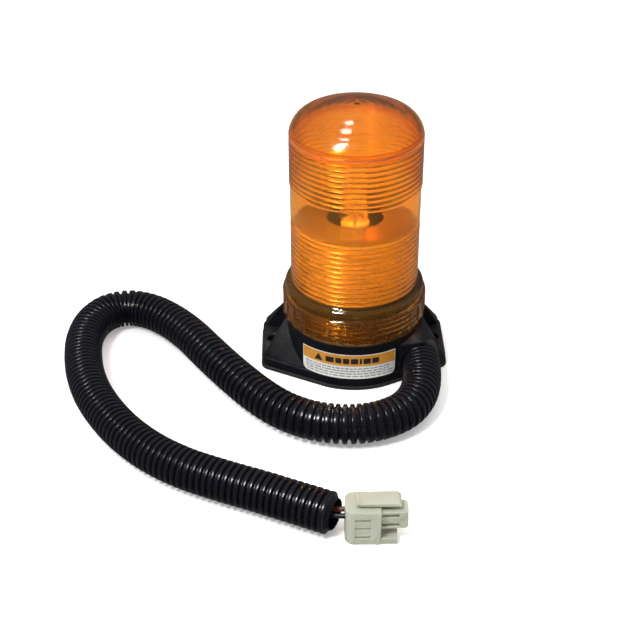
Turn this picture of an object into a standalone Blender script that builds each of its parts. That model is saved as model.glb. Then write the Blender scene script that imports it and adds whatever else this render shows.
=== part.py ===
"""Amber flash beacon with a screw-on lens, a two-ear base and a loomed lead.

The frame is the beacon's own: the origin is on the axis of the lens, on the
surface that the base stands on, with +Z up and the lead leaving towards -Y.
All dimensions are in millimetres and are turned into metres as meshes are made.
"""

import math

import bmesh
import bpy
from mathutils import Vector

MM = 0.001
GAP = 0.3                      # clearance between pieces that touch

# Overall form
SEGMENTS = 40                  # facets round a turned piece
TOTAL_HEIGHT = 146.0
PAD_THICKNESS = 1.8
FLANGE_TOP = 6.5
BODY_TOP = 26.5
NECK_TOP = 42.3

# Base
BODY_RADIUS = 36.6
CAVITY_RADIUS = 31.0
LIP_RADIUS = 37.5              # rim of the pad, proud of the housing
LIP_INSET = 0.6
EAR_HALF_WIDTH = 49.4
EAR_FRONT = -18.4
EAR_BACK = 23.4
EAR_CORNER = 6.0
EAR_HOLE_X = 43.0
EAR_HOLE_Y = 3.0
EAR_HOLE_RADIUS = 3.4
RIDGE_HEIGHT = 9.0             # height of a gusset's ridge over the ear
BOSS_CIRCLE = 25.5
BOSS_RADIUS = 3.2
BOSS_TOP = 23.7
BOSS_ANGLES = (60, 180, 300)
PLATE_TOP = 4.2

# Screw thread between base and lens, right-handed
THREAD_PITCH = 3.0
THREAD_DEPTH = 0.6             # half the height of the thread's wave
THREAD_CLEARANCE = 0.6
NECK_THREAD_RADIUS = 34.0      # mean radius on the base
THREAD_LOW = 28.6
THREAD_ROWS = 13

# Lens
LENS_RADIUS = 33.5
LENS_WALL = 2.3
SKIRT_RADIUS = 37.6
SKIRT_BOTTOM = 27.3
SKIRT_TOP = 41.1
LENS_FOOT_RADIUS = 36.2         # narrower step above the skirt
LENS_FOOT_TOP = 46.0
LENS_SHOULDER = 128.0
SHOULDER_FILLET = 12.0
DOME_TOP = 144.5
NIB_RADIUS = 0.85               # moulding nib on the dome's middle

# Reflector and lamp
SHROUD_RADIUS = 30.2
SHROUD_WALL = 0.8
SHROUD_TOP = 81.8
REFLECTOR_TOP = 84.2
REFLECTOR_HOLE = 14.5
BOARD_BOTTOM = 24.0
BOARD_THICKNESS = 1.6
BOARD_RADIUS = 30.6
TUBE_COIL_RADIUS = 4.7         # centre line of the glass helix
TUBE_GLASS_RADIUS = 1.7
TUBE_LOW = 85.2
TUBE_HIGH = 99.5
TUBE_TURNS = 2.5

# Lead
LOOM_RADIUS = 10.0
LOOM_HEIGHT = 10.2             # centre line, lying on the surface
LOOM_STEP = 9.0                # spacing of the points along the loom
PORT_RADIUS = 10.4
PORT_END = -14.0               # blind end of the port, behind the grommet
PORT_WALL_TOP = 22.2           # top of the wall that the loom comes out of
WIRE_OFFSETS = (-5.4, -1.8)    # places of the two wires across the port
WIRE_RADIUS = 1.2
LOOM_ROUTE = [
    (34.2, -22.9), (34.3, -33.0), (33.0, -46.5), (29.5, -58.8), (22.5, -69.6),
    (11.5, -77.0), (-1.8, -80.2), (-15.2, -79.2), (-27.8, -74.7), (-39.6, -66.4),
    (-50.3, -54.9), (-60.0, -42.0), (-69.2, -28.6), (-78.2, -14.6), (-87.4, 0.0),
    (-98.2, 13.6), (-110.4, 24.2), (-123.2, 28.6), (-134.6, 24.4), (-141.6, 13.2),
    (-144.0, -1.4), (-143.0, -17.0), (-139.6, -34.6), (-133.6, -52.4), (-124.8, -69.6),
    (-113.4, -86.2), (-99.2, -101.2), (-83.4, -112.9), (-66.2, -121.9), (-48.4, -130.1),
    (-30.6, -138.8), (-13.4, -147.2),
]

# Connector, measured from its rear, its middle and its underside
CONNECTOR_REAR = (-9.5, -148.3, 0.2)
HOUSING_LENGTH = 16.0
HOUSING_WIDTH = 15.2
HOUSING_HEIGHT = 17.8
TERMINAL_HEIGHT = 12.2
SHELF_LENGTH = 23.6
NOSE_LENGTH = 28.4
LATCH_START = 5.2
LATCH_END = 25.4
LATCH_PIVOT = 11.0


# ---------------------------------------------------------------- helpers

def clear_scene():
    for item in list(bpy.context.scene.objects):
        bpy.data.objects.remove(item, do_unlink=True)


def material(name, colour, roughness, metallic=0.0):
    made = bpy.data.materials.new(name)
    made.use_nodes = True
    shader = made.node_tree.nodes["Principled BSDF"]
    shader.inputs["Base Color"].default_value = (*colour, 1.0)
    shader.inputs["Roughness"].default_value = roughness
    shader.inputs["Metallic"].default_value = metallic
    return made


def place(name, mesh, finish, origin=(0.0, 0.0, 0.0)):
    """Put a mesh in the scene; its points are measured from origin, in mm."""
    made = bpy.data.objects.new(name, mesh)
    made.location = Vector(origin) * MM
    bpy.context.scene.collection.objects.link(made)
    if finish:
        mesh.materials.append(finish)
    return made


def finish_mesh(name, bm, smooth=True):
    bmesh.ops.recalc_face_normals(bm, faces=bm.faces)
    mesh = bpy.data.meshes.new(name)
    bm.to_mesh(mesh)
    bm.free()
    if smooth:
        mesh.shade_smooth()
        mesh.set_sharp_from_angle(angle=math.radians(35))
    return mesh


def around(segments):
    """Angles of the facets round a piece, in radians."""
    return [2 * math.pi * i / segments for i in range(segments)]


def turned_mesh(name, rows, segments=SEGMENTS, centre=(0.0, 0.0)):
    """Turn rows about a vertical line into one closed surface.

    A row is (radius, height), or a function of the angle that returns them.
    A row of radius 0 is a pole, and a flat end is a single face. Rows without
    a pole at the end close as a ring.
    """
    bm = bmesh.new()
    loops = []
    for row in rows:
        if not callable(row) and row[0] == 0:
            loops.append([bm.verts.new((centre[0] * MM, centre[1] * MM, row[1] * MM))])
            continue
        loop = []
        for angle in around(segments):
            radius, height = row(angle) if callable(row) else row
            x = centre[0] + radius * math.cos(angle)
            y = centre[1] + radius * math.sin(angle)
            loop.append(bm.verts.new((x * MM, y * MM, height * MM)))
        loops.append(loop)
    pairs = list(zip(loops, loops[1:]))
    if len(loops[0]) > 1:
        pairs.append((loops[-1], loops[0]))
    for first, second in pairs:
        poles = [loop[0] for loop in (first, second) if len(loop) == 1]
        wide = max(first, second, key=len)
        if poles and abs(poles[0].co.z - wide[0].co.z) < 1e-9:
            bm.faces.new(wide)
            bm.verts.remove(poles[0])
            continue
        for i in range(segments):
            j = (i + 1) % segments
            corners = [first[i % len(first)], first[j % len(first)],
                       second[j % len(second)], second[i % len(second)]]
            bm.faces.new(list(dict.fromkeys(corners)))
    return finish_mesh(name, bm)


def turned(name, rows, finish, segments=SEGMENTS, centre=(0.0, 0.0)):
    return place(name, turned_mesh(name, rows, segments, centre), finish)


def drum(radius, low, high):
    """Rows of a plain upright cylinder."""
    return [(0, low), (radius, low), (radius, high), (0, high)]


def ring(inner, outer, low, high):
    """Rows of a plain upright tube."""
    return [(inner, low), (outer, low), (outer, high), (inner, high)]


def prism_mesh(name, outline, low, high):
    bm = bmesh.new()
    bottom = [bm.verts.new((x * MM, y * MM, low * MM)) for x, y in outline]
    top = [bm.verts.new((x * MM, y * MM, high * MM)) for x, y in outline]
    bm.faces.new(bottom)
    bm.faces.new(top)
    for i in range(len(outline)):
        j = (i + 1) % len(outline)
        bm.faces.new((bottom[i], bottom[j], top[j], top[i]))
    return finish_mesh(name, bm)


def disc_mesh(name, radius, low, high):
    return prism_mesh(name, arc((0, 0), radius, 0, 360, SEGMENTS)[:-1], low, high)


def box_mesh(name, low, high):
    outline = [(low[0], low[1]), (high[0], low[1]), (high[0], high[1]), (low[0], high[1])]
    return prism_mesh(name, outline, low[2], high[2])


def hull_mesh(name, points):
    bm = bmesh.new()
    for point in points:
        bm.verts.new(Vector(point) * MM)
    result = bmesh.ops.convex_hull(bm, input=bm.verts)
    spare = {v for v in result["geom_interior"] if isinstance(v, bmesh.types.BMVert)}
    bmesh.ops.delete(bm, geom=list(spare), context="VERTS")
    return finish_mesh(name, bm)


def lying_drum_mesh(name, radius, start, end, segments=24):
    """A round bar from start to end."""
    axis = Vector(end) - Vector(start)
    bm = bmesh.new()
    bmesh.ops.create_cone(bm, cap_ends=True, segments=segments, radius1=radius * MM,
                          radius2=radius * MM, depth=axis.length * MM)
    turn = axis.to_track_quat("Z", "Y").to_matrix().to_4x4()
    bmesh.ops.transform(bm, matrix=turn, verts=bm.verts)
    middle = (Vector(start) + Vector(end)) * 0.5 * MM
    bmesh.ops.translate(bm, vec=middle, verts=bm.verts)
    return finish_mesh(name, bm)


def combine(target, mesh, operation):
    """Join a tool mesh to an object, or cut it away."""
    tool = place(mesh.name + "_tool", mesh, None, target.location / MM)
    tool.hide_render = True
    tool.display_type = "WIRE"
    step = target.modifiers.new(mesh.name, "BOOLEAN")
    step.operation = operation
    step.solver = "EXACT"
    step.object = tool
    return target


def cut(target, mesh):
    return combine(target, mesh, "DIFFERENCE")


def join(target, mesh):
    return combine(target, mesh, "UNION")


def round_edges(target, width, segments=2):
    step = target.modifiers.new("edges", "BEVEL")
    step.width = width * MM
    step.segments = segments
    step.limit_method = "ANGLE"
    step.angle_limit = math.radians(40)
    return target


def arc(centre, radius, start, end, steps):
    """Points on an arc, with its angles in degrees."""
    points = []
    for i in range(steps + 1):
        angle = math.radians(start + (end - start) * i / steps)
        points.append((centre[0] + radius * math.cos(angle), centre[1] + radius * math.sin(angle)))
    return points


def smooth_route(points, step):
    """Read points a fixed step apart from a smooth curve through the points."""
    points = [Vector(p) for p in points]
    before = points[0] * 2 - points[1]
    after = points[-1] * 2 - points[-2]
    held = [before, *points, after]
    fine = []
    for a, b, c, d in zip(held, held[1:], held[2:], held[3:]):
        for i in range(20):
            t = i / 20
            fine.append(0.5 * (2 * b + (c - a) * t + (2 * a - 5 * b + 4 * c - d) * t ** 2
                               + (3 * b - a - 3 * c + d) * t ** 3))
    fine.append(points[-1])
    length = sum((q - p).length for p, q in zip(fine, fine[1:]))
    count = max(2, round(length / step))
    wanted = [length * i / count for i in range(count + 1)]
    route = [fine[0]]
    travelled = 0.0
    for p, q in zip(fine, fine[1:]):
        piece = (q - p).length
        while len(route) < count and wanted[len(route)] <= travelled + piece:
            route.append(p.lerp(q, (wanted[len(route)] - travelled) / piece))
        travelled += piece
    route.append(fine[-1])
    return route


def tube(name, points, radius, finish, resolution=2):
    """A round bar or lead along a list of points."""
    curve = bpy.data.curves.new(name, "CURVE")
    curve.dimensions = "3D"
    curve.bevel_depth = radius * MM
    curve.bevel_resolution = resolution
    curve.use_fill_caps = True
    spline = curve.splines.new("POLY")
    spline.points.add(len(points) - 1)
    for knot, point in zip(spline.points, points):
        knot.co = (*(Vector(point) * MM), 1.0)
    spline.use_smooth = True
    made = bpy.data.objects.new(name, curve)
    bpy.context.scene.collection.objects.link(made)
    curve.materials.append(finish)
    return made


# ------------------------------------------------------------------- base

def flange_outline(inset):
    """Round body blended by straight sides into the two ears."""
    radius = LIP_RADIUS - inset
    corner = EAR_CORNER - inset
    centres = [(EAR_HALF_WIDTH - EAR_CORNER, EAR_FRONT + EAR_CORNER),
               (EAR_HALF_WIDTH - EAR_CORNER, EAR_BACK - EAR_CORNER)]
    points = [Vector(p) for p in arc((0, 0), radius, 0, 360, 72)[:-1]]
    for x, y in centres:
        for side in (1, -1):
            points += [Vector(p) for p in arc((side * x, y), corner, 0, 360, 24)[:-1]]
    return convex_outline(points)


def convex_outline(points):
    """Outer loop of a set of points, anticlockwise."""
    ordered = sorted({(round(p.x, 6), round(p.y, 6)) for p in points})

    def chain(path):
        kept = []
        for p in path:
            while len(kept) > 1 and turn_side(kept[-2], kept[-1], p) <= 1e-9:
                kept.pop()
            kept.append(p)
        return kept[:-1]

    return chain(ordered) + chain(reversed(ordered))


def turn_side(a, b, c):
    return (b[0] - a[0]) * (c[1] - a[1]) - (b[1] - a[1]) * (c[0] - a[0])


def thread_rows(mean_radius, low, root, downward=False):
    """Rows of a screw thread that runs out into its root at both ends.

    The root is the inner side of a thread on a neck (-1), and the outer side
    of a thread in a cap (1).
    """
    rows = []
    for i in range(THREAD_ROWS):
        height = low + i * THREAD_PITCH / 3
        fade = min(1.0, i / 2, (THREAD_ROWS - 1 - i) / 2)

        def row(angle, height=height, fade=fade):
            phase = height / THREAD_PITCH - angle / (2 * math.pi)
            wave = math.cos(2 * math.pi * phase)
            return mean_radius + THREAD_DEPTH * (fade * wave + (1 - fade) * root), height

        rows.append(row)
    return rows[::-1] if downward else rows


def gusset_points(side, front):
    """Corners of the web that ties an ear to the body, with its ridge on top."""
    ear_x = side * (EAR_HALF_WIDTH - LIP_INSET)
    if front:
        ear_y, top_y, ridge_y, tangent = EAR_FRONT, -6.0, -13.5, -62
    else:
        ear_y, top_y, ridge_y, tangent = EAR_BACK, 11.0, 21.0, 62
    inward = 1 if front else -1
    corner = arc((ear_x - side * EAR_CORNER, ear_y + inward * (EAR_CORNER + LIP_INSET)), EAR_CORNER,
                 0 if side > 0 else 180, (-90 if front else 90) if side > 0 else (270 if front else 90), 4)
    low = PAD_THICKNESS + GAP
    points = [(x, y, z) for x, y in corner for z in (low, low + 1.5)]
    edge = math.radians(tangent)
    tangent_x = side * (LIP_RADIUS - LIP_INSET) * math.cos(edge)
    tangent_y = (LIP_RADIUS - LIP_INSET) * math.sin(edge)
    points += [(tangent_x, tangent_y, low), (tangent_x, tangent_y, low + 1.5)]
    points += [(side * 36.2, top_y, BODY_TOP - 0.6), (side * 33.5, top_y, BODY_TOP - 0.6)]
    points += [(side * 46.8, ridge_y, RIDGE_HEIGHT), (side * 46.8, ridge_y, low)]
    points += [(side * 33.5, top_y, low)]
    return points


def port_wall_points():
    """Leaning wall in front of the right gusset, thick enough to hold the loom."""
    low = PAD_THICKNESS + GAP
    foot = [(20.5, -30.2, low), (33.5, -29.6, low), (45.0, -21.0, low)]
    head = [(22.0, -28.4, PORT_WALL_TOP - 0.6), (34.5, -26.0, PORT_WALL_TOP), (43.6, -19.4, 14.5)]
    back = [(20.0, -20.0, low), (20.0, -20.0, PORT_WALL_TOP), (33.0, -10.0, PORT_WALL_TOP + 1.5)]
    points = foot + head + back
    points += [point for point in gusset_points(1, True) if point[1] > -15]
    return points


def base_housing(finish):
    low = PAD_THICKNESS + GAP
    neck_low = NECK_THREAD_RADIUS - THREAD_DEPTH
    inner = CAVITY_RADIUS - 3.0
    rows = [(inner, low), (BODY_RADIUS, low), (BODY_RADIUS - 0.4, BODY_TOP - 0.8),
            (BODY_RADIUS - 1.2, BODY_TOP), (neck_low, BODY_TOP)]
    rows += thread_rows(NECK_THREAD_RADIUS, THREAD_LOW, root=-1)
    rows += [(neck_low, NECK_TOP - 0.4), (neck_low - 0.4, NECK_TOP), (inner, NECK_TOP)]
    base = turned("base_housing", rows, finish)
    join(base, prism_mesh("flange", flange_outline(LIP_INSET), low, FLANGE_TOP))
    for side in (1, -1):
        join(base, hull_mesh(f"front_gusset_{side}", gusset_points(side, True)))
        join(base, hull_mesh(f"back_gusset_{side}", gusset_points(side, False)))
    join(base, hull_mesh("port_wall", port_wall_points()))
    cavity = [(0, low - 1), (CAVITY_RADIUS + 2.2, low - 1), (CAVITY_RADIUS + 2.2, PLATE_TOP + GAP),
              (CAVITY_RADIUS, PLATE_TOP + GAP), (CAVITY_RADIUS, NECK_TOP + 1), (0, NECK_TOP + 1)]
    cut(base, turned_mesh("cavity", cavity))
    x, z = LOOM_ROUTE[0][0], LOOM_HEIGHT
    cut(base, lying_drum_mesh("port_bore", PORT_RADIUS, (x, -45, z), (x, PORT_END, z), 32))
    channel_low, channel_high = (x - 7.4, PORT_END - 1, z - 2.2), (x + 0.2, -3.6, z + 2.4)
    cut(base, box_mesh("wire_channel", channel_low, channel_high))
    for angle in BOSS_ANGLES:
        direction = Vector((math.cos(math.radians(angle)), math.sin(math.radians(angle))))
        join(base, boss_web(angle, direction))
    for angle in BOSS_ANGLES:
        centre = (BOSS_CIRCLE * math.cos(math.radians(angle)), BOSS_CIRCLE * math.sin(math.radians(angle)))
        cut(base, turned_mesh(f"boss_hole_low_{angle}", drum(1.6, 3.0, 12.0), 12, centre))
        cut(base, turned_mesh(f"boss_hole_high_{angle}", drum(1.6, 16.0, 30.0), 12, centre))
    for side in (1, -1):
        cut(base, turned_mesh(f"ear_hole_{side}", drum(EAR_HOLE_RADIUS, -1, 20), 24,
                              (side * EAR_HOLE_X, EAR_HOLE_Y)))
    return base


def boss_web(angle, direction):
    """A screw post with a web to the wall, as one upright outline."""
    side = Vector((-direction.y, direction.x))
    centre = direction * BOSS_CIRCLE
    wall = direction * (CAVITY_RADIUS + 1.0)
    start = math.degrees(math.atan2(direction.y, direction.x))
    outline = arc(centre, BOSS_RADIUS, start + 30, start + 330, 12)
    outline += [tuple(wall - side * 1.6), tuple(wall + side * 1.6)]
    return prism_mesh(f"boss_{angle}", outline, PLATE_TOP + GAP, BOSS_TOP)


def mounting_pad(finish):
    pad = place("mounting_pad", prism_mesh("mounting_pad", flange_outline(0.0), 0.0, PAD_THICKNESS), finish)
    x, z = LOOM_ROUTE[0][0], LOOM_HEIGHT
    cut(pad, lying_drum_mesh("pad_notch", PORT_RADIUS, (x, -45, z), (x, -4.0, z), 32))
    cut(pad, turned_mesh("pad_opening", drum(CAVITY_RADIUS - 1.5, -1, 5)))
    for side in (1, -1):
        cut(pad, turned_mesh(f"pad_hole_{side}", drum(EAR_HOLE_RADIUS, -1, 5), 24,
                             (side * EAR_HOLE_X, EAR_HOLE_Y)))
    return pad


def bottom_plate(finish):
    low = PAD_THICKNESS + 2 * GAP
    plate = place("bottom_plate", disc_mesh("bottom_plate", CAVITY_RADIUS + 1.8, low, PLATE_TOP), finish)
    for angle in BOSS_ANGLES:
        centre = (BOSS_CIRCLE * math.cos(math.radians(angle)), BOSS_CIRCLE * math.sin(math.radians(angle)))
        cut(plate, turned_mesh(f"plate_hole_{angle}", drum(1.6, low - 1, PLATE_TOP + 1), 12, centre))
    x = LOOM_ROUTE[0][0]
    cut(plate, box_mesh("plate_notch", (x - 9.2, -45, 0), (x + 20, -4.2, 10)))
    return plate


def screw(name, angle, seat, tip, finish, upward):
    """A pan-head screw on the boss circle, with its head at seat."""
    centre = (BOSS_CIRCLE * math.cos(math.radians(angle)), BOSS_CIRCLE * math.sin(math.radians(angle)))
    way = -1 if upward else 1
    head = seat + way * 0.9 if upward else seat + way * 1.8
    rows = [(0, tip), (1.2, tip), (1.2, seat), (2.6, seat), (2.6, seat + (head - seat) * 0.6), (1.7, head),
            (0, head)]
    return turned(name, rows, finish, 12, centre)


def label(finish):
    """Curved plate on the front of the body, with rounded lower corners."""
    low, high = 6.8, 21.4
    first, last = math.radians(-90 - 47), math.radians(-90 + 33.5)
    inner = BODY_RADIUS + GAP
    steps = 20
    bm = bmesh.new()
    loops = []
    for i in range(steps + 1):
        angle = first + (last - first) * i / steps
        lift = 1.6 if i in (0, steps) else 0.0
        corners = [(inner, low + lift), (inner + 0.25, low + lift), (inner + 0.25, high), (inner, high)]
        loops.append([bm.verts.new((r * math.cos(angle) * MM, r * math.sin(angle) * MM, z * MM))
                      for r, z in corners])
    for first_loop, second_loop in zip(loops, loops[1:]):
        for i in range(4):
            j = (i + 1) % 4
            bm.faces.new((first_loop[i], first_loop[j], second_loop[j], second_loop[i]))
    bm.faces.new(loops[0])
    bm.faces.new(loops[-1])
    return place("label", finish_mesh("label", bm), finish)


# ------------------------------------------------------------------- lens

def dome_rows(radius, shoulder, fillet, top):
    """Rows of a dome that blends into its wall, from the wall to the pole."""
    flat = radius - fillet
    drop = top - shoulder
    sphere = (flat ** 2 + drop ** 2 - fillet ** 2) / (2 * (drop - fillet))
    slope = math.atan2(flat, sphere - drop)
    rows = []
    for i in range(4):
        angle = (math.pi / 2 - slope) * i / 4
        rows.append((flat + fillet * math.cos(angle), shoulder + fillet * math.sin(angle)))
    for i in range(6):
        angle = slope * (1 - i / 6)
        rows.append((sphere * math.sin(angle), top - sphere * (1 - math.cos(angle))))
    rows.append((0, top))
    return rows


def lens(finish):
    lens_thread = NECK_THREAD_RADIUS + THREAD_CLEARANCE
    inner = LENS_RADIUS - LENS_WALL
    seat = NECK_TOP + GAP + 1.4 + GAP
    outside = [(SKIRT_RADIUS - 0.4, SKIRT_BOTTOM), (SKIRT_RADIUS, SKIRT_BOTTOM + 0.5),
               (SKIRT_RADIUS, SKIRT_TOP - 0.8), (SKIRT_RADIUS - 0.8, SKIRT_TOP),
               (LENS_FOOT_RADIUS + 0.1, SKIRT_TOP), (LENS_FOOT_RADIUS, LENS_FOOT_TOP - 1.0),
               (LENS_FOOT_RADIUS - 1.0, LENS_FOOT_TOP), (LENS_RADIUS + 0.5, LENS_FOOT_TOP + 0.3),
               (LENS_RADIUS, LENS_FOOT_TOP + 1.7)]
    outside += dome_rows(LENS_RADIUS, LENS_SHOULDER, SHOULDER_FILLET, DOME_TOP)[:-1]
    outside += [(NIB_RADIUS, DOME_TOP), (NIB_RADIUS, TOTAL_HEIGHT - 0.2), (NIB_RADIUS - 0.2, TOTAL_HEIGHT),
                (0, TOTAL_HEIGHT)]
    inside = dome_rows(inner, LENS_SHOULDER - 0.6, SHOULDER_FILLET - LENS_WALL / 2, DOME_TOP - LENS_WALL)
    inside = inside[::-1]
    inside += [(inner, seat + 1.2), (inner, seat), (lens_thread + THREAD_DEPTH, seat)]
    inside += thread_rows(lens_thread, THREAD_LOW, root=1, downward=True)
    root = lens_thread + THREAD_DEPTH
    inside += [(root, SKIRT_BOTTOM + 0.4), (root + 0.3, SKIRT_BOTTOM)]
    return turned_shell("lens", outside, inside, finish)


def turned_shell(name, outside, inside, finish):
    """A turned cup: the outside runs rim to pole, the inside runs pole to rim."""
    bm = bmesh.new()
    loops = []
    for row in outside + inside:
        loop = []
        count = 1 if not callable(row) and row[0] == 0 else SEGMENTS
        for angle in around(count):
            radius, height = row(angle) if callable(row) else row
            x, y = radius * math.cos(angle), radius * math.sin(angle)
            loop.append(bm.verts.new((x * MM, y * MM, height * MM)))
        loops.append(loop)
    for first, second in zip(loops, loops[1:] + loops[:1]):
        if len(first) + len(second) == 2:
            continue
        for i in range(SEGMENTS):
            j = (i + 1) % SEGMENTS
            corners = [first[i % len(first)], first[j % len(first)],
                       second[j % len(second)], second[i % len(second)]]
            bm.faces.new(list(dict.fromkeys(corners)))
    return place(name, finish_mesh(name, bm), finish)


def lens_seal(finish):
    low = NECK_TOP + GAP
    return turned("lens_seal", ring(31.6, 34.4, low, low + 1.4), finish)


# ------------------------------------------------------- lamp and circuit

def reflector(finish):
    """Shallow polished disc with a turned-down rim and a round hole."""
    thickness = 0.8
    rim = SHROUD_TOP + GAP
    inner_rim = SHROUD_RADIUS - SHROUD_WALL - GAP
    rows = [(SHROUD_RADIUS, rim), (SHROUD_RADIUS, rim + thickness), (REFLECTOR_HOLE + 2, REFLECTOR_TOP - 0.3),
            (REFLECTOR_HOLE, REFLECTOR_TOP), (REFLECTOR_HOLE, REFLECTOR_TOP - thickness),
            (inner_rim - thickness, rim - 0.1), (inner_rim - thickness, rim - 3.5), (inner_rim, rim - 3.5),
            (inner_rim, rim)]
    return turned("reflector", rows, finish)


def shroud(finish):
    low = BOARD_BOTTOM + BOARD_THICKNESS + GAP
    return turned("shroud", ring(SHROUD_RADIUS - SHROUD_WALL, SHROUD_RADIUS, low, SHROUD_TOP), finish)


def flash_tube(finish):
    """Glass helix with both ends brought down through the tube base."""
    points = [(TUBE_COIL_RADIUS, 0, TUBE_LOW - 1.0)]
    steps = int(TUBE_TURNS * 14)
    for i in range(steps + 1):
        angle = 2 * math.pi * TUBE_TURNS * i / steps
        height = TUBE_LOW + (TUBE_HIGH - TUBE_LOW) * i / steps
        points.append((TUBE_COIL_RADIUS * math.cos(angle), TUBE_COIL_RADIUS * math.sin(angle), height))
    return tube("flash_tube", points, TUBE_GLASS_RADIUS, finish)


def tube_base(finish):
    rows = [(0, 78.2), (7.2, 78.2), (7.2, 81.4), (6.4, 82.2), (0, 82.2)]
    base = turned("tube_base", rows, finish, 24)
    for x in (TUBE_COIL_RADIUS, -TUBE_COIL_RADIUS - 1.2):
        cut(base, turned_mesh(f"lead_hole_{x:.0f}", drum(0.9, 77, 84), 8, (x, 0)))
    return base


def electrode_leads(finish):
    low = BOARD_BOTTOM + BOARD_THICKNESS + GAP
    x = TUBE_COIL_RADIUS
    cathode = [(x, 0, TUBE_LOW - 1.3), (x, 0, 70), (x + 1.6, 0, 60), (x + 1.6, 0, low)]
    tube("cathode_lead", cathode, 0.5, finish, 2)
    x = -TUBE_COIL_RADIUS - 1.2
    high = TUBE_HIGH + 1.5
    anode = [(-TUBE_COIL_RADIUS + 1.0, 0, high + 1.0), (x - 0.6, 0, high + 1.4), (x - 1.4, 0, high - 1),
             (x - 1.4, 0, 84), (x, 0, 82.6), (x, 0, 70), (x - 1.2, 0, 60), (x - 1.2, 0, low)]
    tube("anode_lead", anode, 0.5, finish, 2)


def tube_post(finish):
    low = BOARD_BOTTOM + BOARD_THICKNESS + GAP
    return turned("tube_post", [(0, low), (5.0, low), (5.0, low + 2), (3.4, low + 4), (3.4, 77.9), (0, 77.9)],
                  finish, 24)


def circuit_board(finish):
    high = BOARD_BOTTOM + BOARD_THICKNESS
    board = place("circuit_board", disc_mesh("circuit_board", BOARD_RADIUS, BOARD_BOTTOM, high), finish)
    for angle in BOSS_ANGLES:
        centre = (BOSS_CIRCLE * math.cos(math.radians(angle)), BOSS_CIRCLE * math.sin(math.radians(angle)))
        hole = drum(1.6, BOARD_BOTTOM - 1, BOARD_BOTTOM + 3)
        cut(board, turned_mesh(f"board_hole_{angle}", hole, 12, centre))
    return board


def board_parts(finishes):
    top = BOARD_BOTTOM + BOARD_THICKNESS + GAP
    rows = [(0, top), (9.6, top), (10.0, top + 0.8), (10.0, top + 32), (9.2, top + 33), (0, top + 33)]
    turned("main_capacitor", rows, finishes["sleeve"], 24, (-14.0, 12.5))
    block = box_mesh("transformer_core", (7, 4, top), (23, 17, top + 18))
    core = place("transformer_core", block, finishes["ferrite"])
    cut(core, box_mesh("core_window", (9.8, 0, top + 3), (20.2, 30, top + 15)))
    winding = box_mesh("transformer_winding", (10.2, 1.5, top + 3.4), (19.8, 19.0, top + 14.6))
    round_edges(place("transformer_winding", winding, finishes["copper"]), 1.6)
    turned("trigger_coil", drum(4.2, top, top + 13), finishes["sleeve"], 20, (-12.0, -19.0))
    sink = [(13, -17.5), (14.5, -17.5), (14.5, -11.2), (22, -11.2), (22, -9.8), (14.5, -9.8),
            (14.5, -5), (22, -5), (22, -3.5), (13, -3.5)]
    place("heat_sink", prism_mesh("heat_sink", sink, top, top + 22), finishes["aluminium"])
    transistor = box_mesh("transistor", (8.4, -15.5, top + 2), (12.7, -6, top + 16))
    place("transistor", transistor, finishes["black"])
    film = box_mesh("film_capacitor", (-3.5, -25, top), (5.5, -20, top + 9))
    place("film_capacitor", film, finishes["film"])
    for number, y in enumerate((-4.5, -9.0), start=1):
        start, end = (-25, y, top + 1.6), (-17, y, top + 1.6)
        body = lying_drum_mesh(f"resistor_{number}", 1.5, start, end, 12)
        place(f"resistor_{number}", body, finishes["resistor"])
    for number, y in enumerate((-14.0, -17.5), start=1):
        start, end = (-25 + number * 2, y, top + 1.4), (-19 + number, y, top + 1.4)
        body = lying_drum_mesh(f"diode_{number}", 1.3, start, end, 12)
        place(f"diode_{number}", body, finishes["black"])


def trigger_wire(finish):
    """Fine wire from the trigger coil up to the glass."""
    top = BOARD_BOTTOM + BOARD_THICKNESS + GAP
    points = [(-12.0, -19.0, top + 13.3), (-12.0, -19.0, top + 20), (-6.0, -10.6, 74), (-1.2, -9.6, 80),
              (0, -8.8, 86), (0, -7.2, 92), (0, -7.2, 99)]
    return tube("trigger_wire", points, 0.35, finish, 2)


# ------------------------------------------------------------------- lead

def grommet(finish):
    x, z = LOOM_ROUTE[0][0], LOOM_HEIGHT
    start = LOOM_ROUTE[0][1] + GAP
    bar = lying_drum_mesh("cable_grommet", PORT_RADIUS - GAP, (x, start, z), (x, PORT_END - 2.0, z), 32)
    plug = place("cable_grommet", bar, finish)
    for offset in WIRE_OFFSETS:
        hole = lying_drum_mesh(f"grommet_hole_{offset:.0f}", WIRE_RADIUS + GAP, (x + offset, start - 2, z),
                               (x + offset, PORT_END, z), 12)
        cut(plug, hole)
    return plug


def inner_wires(finishes):
    """Two leads from the board to the start of the loom."""
    x, z = LOOM_ROUTE[0][0], LOOM_HEIGHT
    end = LOOM_ROUTE[0][1] + GAP
    under = BOARD_BOTTOM - GAP
    near, far = x + WIRE_OFFSETS[0], x + WIRE_OFFSETS[1]
    first = [(16.5, -6.0, under), (16.6, -6.0, 18.5), (18.6, -6.2, 13.2), (22.6, -7.4, 10.6), (26.6, -9.6, z),
             (near, -12.6, z), (near, -17.0, z), (near, end, z)]
    second = [(20.5, -1.0, under), (20.7, -1.0, 18.5), (22.6, -1.4, 13.0), (26.2, -3.2, 10.6),
              (30.0, -6.6, z), (far, -10.2, z), (far, -16.0, z), (far, end, z)]
    tube("supply_wire_inner", smooth_route(first, 3.0), WIRE_RADIUS, finishes["brown"], 2)
    tube("ground_wire_inner", smooth_route(second, 3.0), WIRE_RADIUS, finishes["black"], 2)


def loom(finish):
    route = smooth_route([(x, y, LOOM_HEIGHT) for x, y in LOOM_ROUTE], LOOM_STEP)
    return tube("loom", route, LOOM_RADIUS, finish, 4)


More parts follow.
